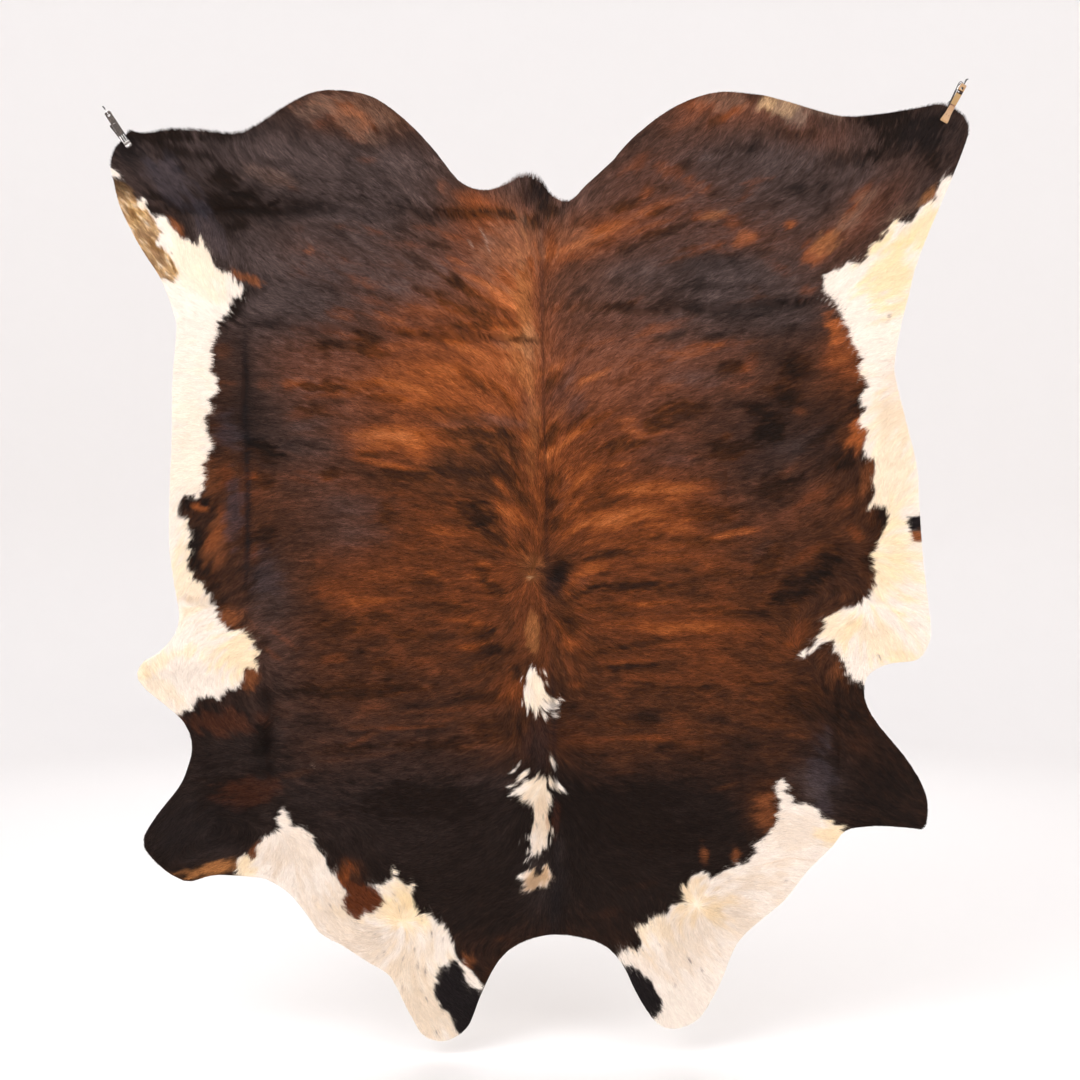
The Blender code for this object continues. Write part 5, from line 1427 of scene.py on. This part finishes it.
chance = np.random.default_rng(51)
roots = sunflower(HAIRS) + chance.normal(0, SCATTER, (HAIRS, 2))
edge_at, out_at = rim_radius(roots[:, 0], roots[:, 1])
roots = roots[out_at < edge_at - ROOT_INSET]
print(len(roots), "hairs set out,", round(len(roots) / HIDE_CM2), "to the square centimetre")

# %% Length, lean and overhang
HAIR_LENGTH, HAIR_HALF_WIDTH = 14 * MM, 0.66 * MM
LENGTH_SPREAD, LEAST_LENGTH, MOST_LENGTH = 0.16, 0.5, 1.5
LIFT, LIFT_SPREAD, LEAST_LIFT, MOST_LIFT = 7.5, 2.6, 3, 15
SHARED_LIFT, OWN_LIFT = 0.6, 0.8
SWAY, LOCK_SWAY = 9.0, 6.0
ROLL, MOST_ROLL = 20.0, 1.2
OVERHANG = 2.5
TRIMS, MOST_CUT = 3, 0.3
FRINGES = [
    # name, middle, reach, how far the hair may stand over the edge, all in millimetres
    ("tail", (-1, -181), 75, 20), ("rump_left", (-777, -60), 150, 16), ("hip_left", (-979, -153), 40, 8),
    ("corner_right", (926, -7), 110, 12), ("rump_right", (776, -37), 90, 8),
    ("hip_left_edge", (-968, -111), 50, 6), ("elbow_left", (-812, -1421), 30, 6),
    ("hoof_left", (-801, -1803), 60, 4), ("shank_left", (-650, -1794), 60, 5),
    ("right_edge", (868, -528), 200, 4), ("elbow_right", (880, -1293), 60, 5),
]
LONG_HAIR = [
    # name, middle, reach, how much longer
    ("tail", (-1, -208), 60, 0.90), ("backbone_white", (11, -1618), 110, 0.60),
    ("withers", (1, -1386), 45, 0.60), ("whorl_left", (-307, -1884), 90, 0.25),
    ("whorl_right", (375, -1850), 90, 0.25), ("rump_left", (-801, -83), 150, 0.55),
    ("rump_right", (845, -53), 130, 0.40),
]


def swells(table, base, x, z):
    """The largest of base + (strength - base) * exp(-(distance / reach)^2) over the rows of a table."""
    value = np.full(len(x), float(base))
    for name, (middle_x, middle_z), reach, strength in table:
        square = (x - middle_x * MM) ** 2 + (z - middle_z * MM) ** 2
        value = np.maximum(value, base + (strength - base) * np.exp(-square / (reach * MM) ** 2))
    return value


def turned_by(way, degrees):
    """Directions turned in the plane of the hide."""
    cos, sin = np.cos(np.radians(degrees)), np.sin(np.radians(degrees))
    return np.stack([way[:, 0] * cos - way[:, 1] * sin, way[:, 0] * sin + way[:, 1] * cos], 1)


count = len(roots)
x, z = roots.T
way = np.stack([read_chart(way_x, x, z), read_chart(way_z, x, z)], 1)
lock_turn = read_chart(mottle(9 * MM, 52), x, z)
way = turned_by(way, SWAY * chance.standard_normal(count) + LOCK_SWAY * lock_turn)
way /= np.linalg.norm(way, axis=1)[:, None]
length = HAIR_LENGTH * (1 + LENGTH_SPREAD * chance.standard_normal(count)).clip(LEAST_LENGTH, MOST_LENGTH)
length *= 1 + swells(LONG_HAIR, 0.0, x, z)
lock_lift = read_chart(mottle(7 * MM, 53), x, z)
lift = LIFT + LIFT_SPREAD * (SHARED_LIFT * lock_lift + OWN_LIFT * chance.standard_normal(count))
lift = np.radians(lift.clip(LEAST_LIFT, MOST_LIFT))
allowed = swells(FRINGES, OVERHANG, x, z) * MM * chance.uniform(0.3, 1.0, count)
for _ in range(TRIMS):
    tips = roots + way * (length * np.cos(lift))[:, None]
    edge_at, out_at = rim_radius(*tips.T)
    length *= np.clip(1 - (out_at - edge_at - allowed).clip(0) / length, MOST_CUT, 1)
print("hair is", (length.mean() / MM).round(1), "mm long on average")

# %% Hair shape and colour
ROOT_DEPTH = 0.3 * MM
SHOWS_AT = 0.6
ROOT_SHADE, TIP_SHINE = 0.80, 1.08
HAIR_TONE = 0.36
GLINT_SHARE, GLINT = 0.06, 1.55
THINNEST, THICKEST = 0.75, 1.25
WHITE_EVENS = 0.8


def unit(vectors):
    """Rows of vectors, each divided by its length."""
    return vectors / np.linalg.norm(vectors, axis=1)[:, None]


slope_x, slope_z = read_chart(slope_across, x, z), read_chart(slope_up, x, z)
outward = unit(np.stack([slope_x, -np.ones(count), slope_z], 1))
forward = unit(np.stack([way[:, 0], slope_x * way[:, 0] + slope_z * way[:, 1], way[:, 1]], 1))
sideways = np.cross(outward, forward)
roll = np.radians(ROLL * chance.standard_normal(count)).clip(-MOST_ROLL, MOST_ROLL)
sideways = sideways * np.cos(roll)[:, None] + outward * np.sin(roll)[:, None]
root = np.stack([x, read_chart(relief, x, z), z], 1) - outward * ROOT_DEPTH
ahead, up = (length * np.cos(lift))[:, None], (length * np.sin(lift))[:, None]
tip = root + forward * ahead + outward * up
half_width = (HAIR_HALF_WIDTH * chance.uniform(THINNEST, THICKEST, count))[:, None]
hair_points = np.stack([root - sideways * half_width, root + sideways * half_width, tip], 1)

shows = roots + way * (SHOWS_AT * length)[:, None]
evened = 1 - WHITE_EVENS * read_chart(white, *shows.T)
tone = 1 + HAIR_TONE * evened * chance.standard_normal(count).clip(-2, 2)
tone = np.where(chance.random(count) < GLINT_SHARE, 1 + (GLINT - 1) * evened, tone)
hair_colour = read_chart(coat, *shows.T) * tone[:, None]
# Painted shade at each hair's root and a painted highlight at its tip, fainter on white hair.
root_shade_and_tip_shine = 1 + (np.array([ROOT_SHADE, ROOT_SHADE, TIP_SHINE]) - 1) * evened[:, None]
corner_colour = hair_colour[:, None, :] * root_shade_and_tip_shine[:, :, None]
print("hair stands", ((-(tip - root) @ [0, 1, 0]).max() / MM).round(1), "mm proud at most")

# %% Coat pieces
COAT_ROWS = [("rump", -0.62), ("flank", -1.30), ("shoulder", -FAR)]
HAIR_BRIGHTNESS, HAIR_ROUGHNESS = (0.92, 1.08), (0.38, 0.56)

coat_material, tree, shader = new_material("cow_hair", srgb(90, 60, 45), 0.46)
shader.inputs["Specular IOR Level"].default_value = 0.09
own_colour = add_node(tree, "ShaderNodeAttribute", attribute_name="hair_colour")
grain = noise_in(tree, own_place(tree), Scale=900.0, Detail=2.0)
grained = add_node(tree, "ShaderNodeVectorMath", operation="SCALE")
tree.links.new(own_colour.outputs["Color"], grained.inputs[0])
tree.links.new(ranged(tree, grain, *HAIR_BRIGHTNESS), grained.inputs["Scale"])
tree.links.new(grained.outputs["Vector"], shader.inputs["Base Color"])
tree.links.new(ranged(tree, grain, *HAIR_ROUGHNESS), shader.inputs["Roughness"])


def add_coat(name, chosen):
    """One joined mesh of the chosen hairs. Its map for baking is the hide seen from the front."""
    places = hair_points[chosen].reshape(-1, 3)
    corners = np.arange(len(places)).reshape(-1, 3)
    piece = add_mesh(name, places, corners, coat_material, smooth=False)
    colour_points(piece, np.clip(corner_colour[chosen].reshape(-1, 3), 0, 1))
    low, high = places.min(axis=0), places.max(axis=0)
    spread = (places - low)[:, [0, 2]] / (high - low)[[0, 2]]
    piece.data.uv_layers.new(name="OFBake").data.foreach_set("uv", spread.astype(np.float32).ravel())
    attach(piece, "root")
    return piece


coats, top = [], FAR
for row_name, foot in COAT_ROWS:
    in_row = (z <= top) & (z > foot)
    coats.append(add_coat(f"coat_{row_name}_left", in_row & (x < 0)))
    coats.append(add_coat(f"coat_{row_name}_right", in_row & (x >= 0)))
    top = foot
for piece in coats:
    print(piece.name, len(piece.data.polygons), "triangles")

# %% [markdown]
# ## The clips
# One corner hangs from a pressed-steel clip with a dark face plate, the other from a wooden peg with a
# bent wire. Their bars have the right shape in the solids, so those stay and only get finishes: plated
# steel with fine scratches, a worn dark patina, and pale wood whose grain runs the long way of the peg.
# Grain could be painted, but noise that is squeezed across and stretched along looks like fibres from
# every side. To stretch it along a bar that leans, the place is first turned back by the lean, and that
# also gives the way down the peg, which the wood's tints follow; the dark band where the spring sits in
# its recess is painted shade.

# %% Places on a clip
CLIP_LEAN = {"left": 33.3, "right": -28.6}
EYE_SETBACK = 10.5
PEG_LENGTH = 98
clip_eye = {mount["name"].split("_")[1]: np.array(mount["pos_m"]) * (1, 0, 1)
            for mount in frame["record"]["mounts"] if mount["name"].startswith("eye")}


def clip_ways(side):
    """Unit steps down the clip and to its left, seen from the front."""
    lean = np.radians(CLIP_LEAN[side])
    return np.array([np.sin(lean), 0, -np.cos(lean)]), np.array([-np.cos(lean), 0, -np.sin(lean)])


def on_clip(side, route):
    """World places of rows of (down from the top end, to the left, in front of the hide's middle), in mm."""
    down, left = clip_ways(side)
    along, aside, depth = np.array(route, float).T[:, :, None] * MM
    return clip_eye[side] + (along - EYE_SETBACK * MM) * down + aside * left + depth * np.array([0, -1, 0])


def along_clip(tree, side, across_size, along_size):
    """The piece's own place measured from the clip's top end and along it, divided by a size of grain."""
    return own_place(
        tree, vector_type="TEXTURE", Location=on_clip(side, [(0, 0, 0)])[0],
        Rotation=(0, -np.radians(CLIP_LEAN[side]), 0), Scale=(across_size, across_size, -along_size),
    )


# %% Finishes of the clips
WEAR_STOPS = (0.36, 0.55, 0.72)
METALS = {
    # finish: name of its steel, its three colours from worn to clean, roughness, how metallic
    "bright_steel": ("plated", [(84, 78, 74), (138, 132, 128), (196, 192, 188)], (0.12, 0.30), 1.0),
    "spring": ("spring", [(52, 47, 45), (84, 78, 75), (150, 145, 142)], (0.20, 0.40), 0.9),
    "polished": ("polished", [(176, 172, 168), (226, 222, 218), (240, 238, 236)], (0.08, 0.20), 1.0),
    "dark_steel": ("patina", [(36, 27, 22), (57, 45, 38), (110, 97, 86)], (0.40, 0.58), 0.35),
    # The near-black finish paints shadow on the wires laid in the jaw's grooves and on the right hook in its
    # shaded eye; on the twists, the strand and the wire end it is dark wire.
    "blackened": ("blackened", [(10, 9, 8), (18, 15, 14), (44, 38, 34)], (0.55, 0.75), 0.2),
}


def metal(name, side, colours, roughness, metallic):
    """Plated or dark steel: blotches of wear between its colours, and hair scratches along the clip."""
    colours = [srgb(*colour) for colour in colours]
    material, tree, shader = new_material(name, colours[0], roughness[0], metallic)
    wear = noise_in(tree, own_place(tree), Scale=260.0, Detail=5.0, Roughness=0.65)
    tree.links.new(ramp_of(tree, wear, *zip(WEAR_STOPS, colours)), shader.inputs["Base Color"])
    tree.links.new(ranged(tree, wear, *roughness), shader.inputs["Roughness"])
    scratch = noise_in(tree, along_clip(tree, side, 0.0006, 0.02), Scale=1.0, Detail=2.0)
    add_bump(tree, shader, scratch, 0.25, 0.0003)
    return material


clip_finish = {}
for side in CLIP_LEAN:
    for finish, (name, *looks) in METALS.items():
        clip_finish[side, finish] = metal(f"{name}_steel_{side}", side, *looks)
print(len(clip_finish), "finishes of steel")

# %% Finish of the wood
WOOD_TINTS_AND_SHADE = [
    # share of the way down the peg, colour there
    # From 0.176 to 0.256 the dark band is painted shade in the recess that holds the spring.
    (0.00, srgb(186, 150, 112)), (0.168, srgb(190, 152, 108)), (0.176, srgb(84, 54, 44)),
    (0.256, srgb(98, 64, 50)), (0.264, srgb(176, 142, 92)), (0.545, srgb(170, 136, 88)),
    (0.560, srgb(136, 90, 74)), (0.600, srgb(182, 144, 106)), (0.80, srgb(190, 154, 120)),
    (1.00, srgb(194, 156, 112)),
]
wood, tree, shader = new_material("peg_wood", srgb(190, 154, 116), 0.55)
down_peg = add_node(tree, "ShaderNodeSeparateXYZ")
tree.links.new(along_clip(tree, "right", 1.0, PEG_LENGTH * MM), down_peg.inputs[0])
tinted_and_shaded = ramp_of(tree, down_peg.outputs["Z"], *WOOD_TINTS_AND_SHADE)
grain = noise_in(tree, along_clip(tree, "right", 0.0011, 0.030), Scale=1.0, Detail=5.0)
fibres = (0.30, srgb(214, 200, 186)), (0.48, srgb(244, 240, 236)), (0.66, UNTOUCHED)
grained = dusted(tree, tinted_and_shaded, 1.0, grain, *fibres)
pore = noise_in(tree, along_clip(tree, "right", 0.0004, 0.004), Scale=1.0, Detail=1.0)
pored = dusted(tree, grained, 0.5, pore, (0.24, srgb(120, 84, 60)), (0.36, UNTOUCHED))
tree.links.new(pored, shader.inputs["Base Color"])
add_bump(tree, shader, grain, 0.3, 0.0004)
clip_finish["right", "pale_wood"] = wood

# %% Finishes laid on the nodes
CLIP_NODES = {
    "bright_steel": ["clip_left_body", "clip_left_pin", "clip_right_pin"],
    "spring": ["clip_right_frame"],
    "dark_steel": ["clip_left_plate", "clip_left_lever"],
    "pale_wood": ["clip_right_front", "clip_right_back"],
}
for finish, names in CLIP_NODES.items():
    for name in names:
        frame["nodes"][name].material_slots[0].material = clip_finish[name.split("_")[1], finish]
print("finishes on", sum(len(names) for names in CLIP_NODES.values()), "bars and wires of the clips")

# %% [markdown]
# ## Small wire on the clips
# The pressed jaw has ridges, the peg has a coil spring and a second strand of wire, and from each eye a
# thin wire hook runs up to where the rug was hung. All of it is round wire, so each piece is a list of
# places on its clip and a radius. A curve with a bevel would give the same tube; as rings of points it
# is one surface with closed ends whose turns can be worked out by a formula, such as the coil's helix.

# %% Round wire
WIRE_SIDES = 10
COIL_STEPS = 18


def rounded(route, times=3):
    """Cuts every corner of a route at a quarter and at three quarters of its sides, a few times over."""
    route = np.array(route, float)
    for _ in range(times):
        cut = np.stack([0.75 * route[:-1] + 0.25 * route[1:], 0.25 * route[:-1] + 0.75 * route[1:]], 1)
        route = np.vstack([route[:1], cut.reshape(-1, 3), route[-1:]])
    return route


def coil(middle, start, end, radius, turns):
    """A helix across the clip: along = middle + r cos(a), depth = middle + r sin(a), left rises evenly."""
    angle = np.linspace(0, 2 * np.pi * turns, int(COIL_STEPS * turns) + 1)
    return np.stack([middle[0] + radius * np.cos(angle), np.linspace(start, end, len(angle)),
                     middle[1] + radius * np.sin(angle)], 1)


def wire(name, slot, finish, radius, route):
    """A round wire along a route. Every ring is square to the run there, and its first spoke is the last
    ring's made square to the new run, so the wire doesn't twist. A point closes each end."""
    side = name.split("_")[1]
    places = on_clip(side, route)
    run = unit(np.gradient(places, axis=0))
    spoke = np.cross(run[0], (0.31, 0.82, 0.48))
    angle = np.linspace(0, 2 * np.pi, WIRE_SIDES, endpoint=False)[:, None]
    rings = []
    for place, ahead in zip(places, run):
        spoke = unit((spoke - ahead * (spoke @ ahead))[None])[0]
        rings.append(place + radius * MM * (np.cos(angle) * spoke + np.sin(angle) * np.cross(ahead, spoke)))
    tips = [places[0] - run[0] * radius * MM * 0.5, places[-1] + run[-1] * radius * MM * 0.5]
    points = np.vstack([*rings, tips])
    triangles = closed_triangles(points, len(places), WIRE_SIDES)
    piece = add_mesh(name, points, triangles, clip_finish[side, finish])
    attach(piece, "root")
    return piece


# %% Wire and ridges of the clips
JAW_FACE = 5.5
RIDGE_RADIUS, GROOVE_RADIUS = 0.95, 1.55

small_wire = []
for number, left in enumerate((-4.2, 1.0, 6.2), 1):
    route = [(64.6, left, JAW_FACE - 0.7), (66.5, left, JAW_FACE + 0.1), (74.0, left, JAW_FACE + 0.3),
             (82.2, left, JAW_FACE + 0.2)]
    name = f"clip_left_ridge_{number}"
    small_wire.append(wire(name, "bright_steel", "polished", RIDGE_RADIUS, rounded(route)))
# The grooves are near-black wire: painted shadow between the ridges.
for number, left in enumerate((-6.4, -1.6, 3.6), 1):
    route = [(64.8, left, JAW_FACE - 0.6), (74.0, left, JAW_FACE - 0.2), (82.4, left, JAW_FACE - 0.2)]
    name = f"clip_left_groove_{number}"
    small_wire.append(wire(name, "dark_steel", "blackened", GROOVE_RADIUS, route))
WIRES = [
    # name, slot, finish, radius, route
    ("clip_left_crossbar", "bright_steel", "polished", 1.2, [(84.4, -6.6, 5.5), (84.0, 0, 5.8),
     (84.4, 6.6, 5.5)]),
    ("clip_left_lip", "bright_steel", "polished", 2.0, [(94.0, -5.8, 4.8), (94.6, 0, 5.2), (94.0, 5.8, 4.8)]),
    ("clip_left_stamp", "bright_steel", "polished", 0.35, [(33.6, -2.6, 4.85), (32.8, 0.6, 4.85),
     (33.4, 3.4, 4.85)]),
    ("clip_left_hook", "bright_steel", "polished", 0.75, rounded([(-7, 0.4, 2.6), (-3, 0, 5.2), (2, 0, 6.0),
     (8, 0, 6.2), (11.4, 0, 5.2), (11.6, 0, 2.4), (9.5, 0, 0.2), (3, 0, 0.0), (-4, 0, 0.8),
     (-8, -0.4, 1.6)])),
    ("clip_left_hook_twist", "dark_steel", "blackened", 1.15, rounded([(-7, -0.8, 2.0), (-8.5, 1.6, 2.8),
     (-10.5, -1.4, 2.2), (-12.5, 1.6, 2.6), (-14.5, -0.6, 2.2), (-15.5, 2.0, 2.4)])),
    ("clip_right_hook", "dark_steel", "blackened", 1.2, rounded([(13.4, -1.6, 8.2), (11.6, -1.2, 9.2),
     (9.6, -0.4, 8.2), (9.6, 0, 2.0), (7, 0, 0.4), (-2, 0, 0.4), (-8, -0.5, 1.4)])),
    ("clip_right_hook_twist", "dark_steel", "blackened", 1.15, rounded([(-7, -0.8, 1.6), (-9, 1.8, 2.4),
     (-11, -1.4, 1.8), (-13, 1.8, 2.2), (-15, -0.6, 1.8), (-17, -2.8, 2.0)])),
    ("clip_right_glint", "bright_steel", "polished", 1.3, rounded([(9.5, 9.4, 5.2), (13, 9.6, 5.6),
     (17, 9.0, 5.2)])),
    ("clip_right_strand", "dark_steel", "blackened", 0.9, rounded([(60, 7.7, 4.4), (44, 8.0, 4.4),
     (24, 9.0, 4.4), (8, 9.9, 4.4), (3, 9.4, 4.4), (1, 8.0, 4.4)])),
    ("clip_right_wire_end", "dark_steel", "blackened", 0.9, rounded([(49, 9.4, 5.6), (52, 11.6, 5.4),
     (55, 12.4, 5.0), (57.5, 11.0, 4.6)])),
    ("clip_right_notch_wire", "dark_steel", "dark_steel", 0.8, [(55.8, 7.8, 7.3), (55.6, 5, 7.5),
     (55.6, 2.6, 7.3)]),
    ("clip_right_mark_left", "dark_steel", "dark_steel", 0.4, [(81.6, 4.4, 6.8), (80.4, 3.4, 6.9),
     (80.8, 2.2, 6.8)]),
    ("clip_right_mark_right", "dark_steel", "dark_steel", 0.4, [(81.4, -2.0, 6.8), (80.6, -3.2, 6.9),
     (81.2, -4.2, 6.8)]),
    ("clip_right_coil", "bright_steel", "polished", 0.6, coil((21.2, 6.0), 6.6, 1.0, 2.2, 4)),
    # The coil's right half is a darker copy: painted shade in the spring's recess.
    ("clip_right_coil_dark", "dark_steel", "dark_steel", 0.6, coil((21.2, 6.0), 0.6, -6.4, 2.0, 4)),
]
small_wire += [wire(*row) for row in WIRES]
triangle_count = sum(len(piece.data.polygons) for piece in small_wire)
print(len(small_wire), "pieces of wire and ridge,", triangle_count, "triangles")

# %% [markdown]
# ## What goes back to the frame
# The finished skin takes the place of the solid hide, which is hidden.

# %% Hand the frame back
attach(skin, "root")
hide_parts("hide")
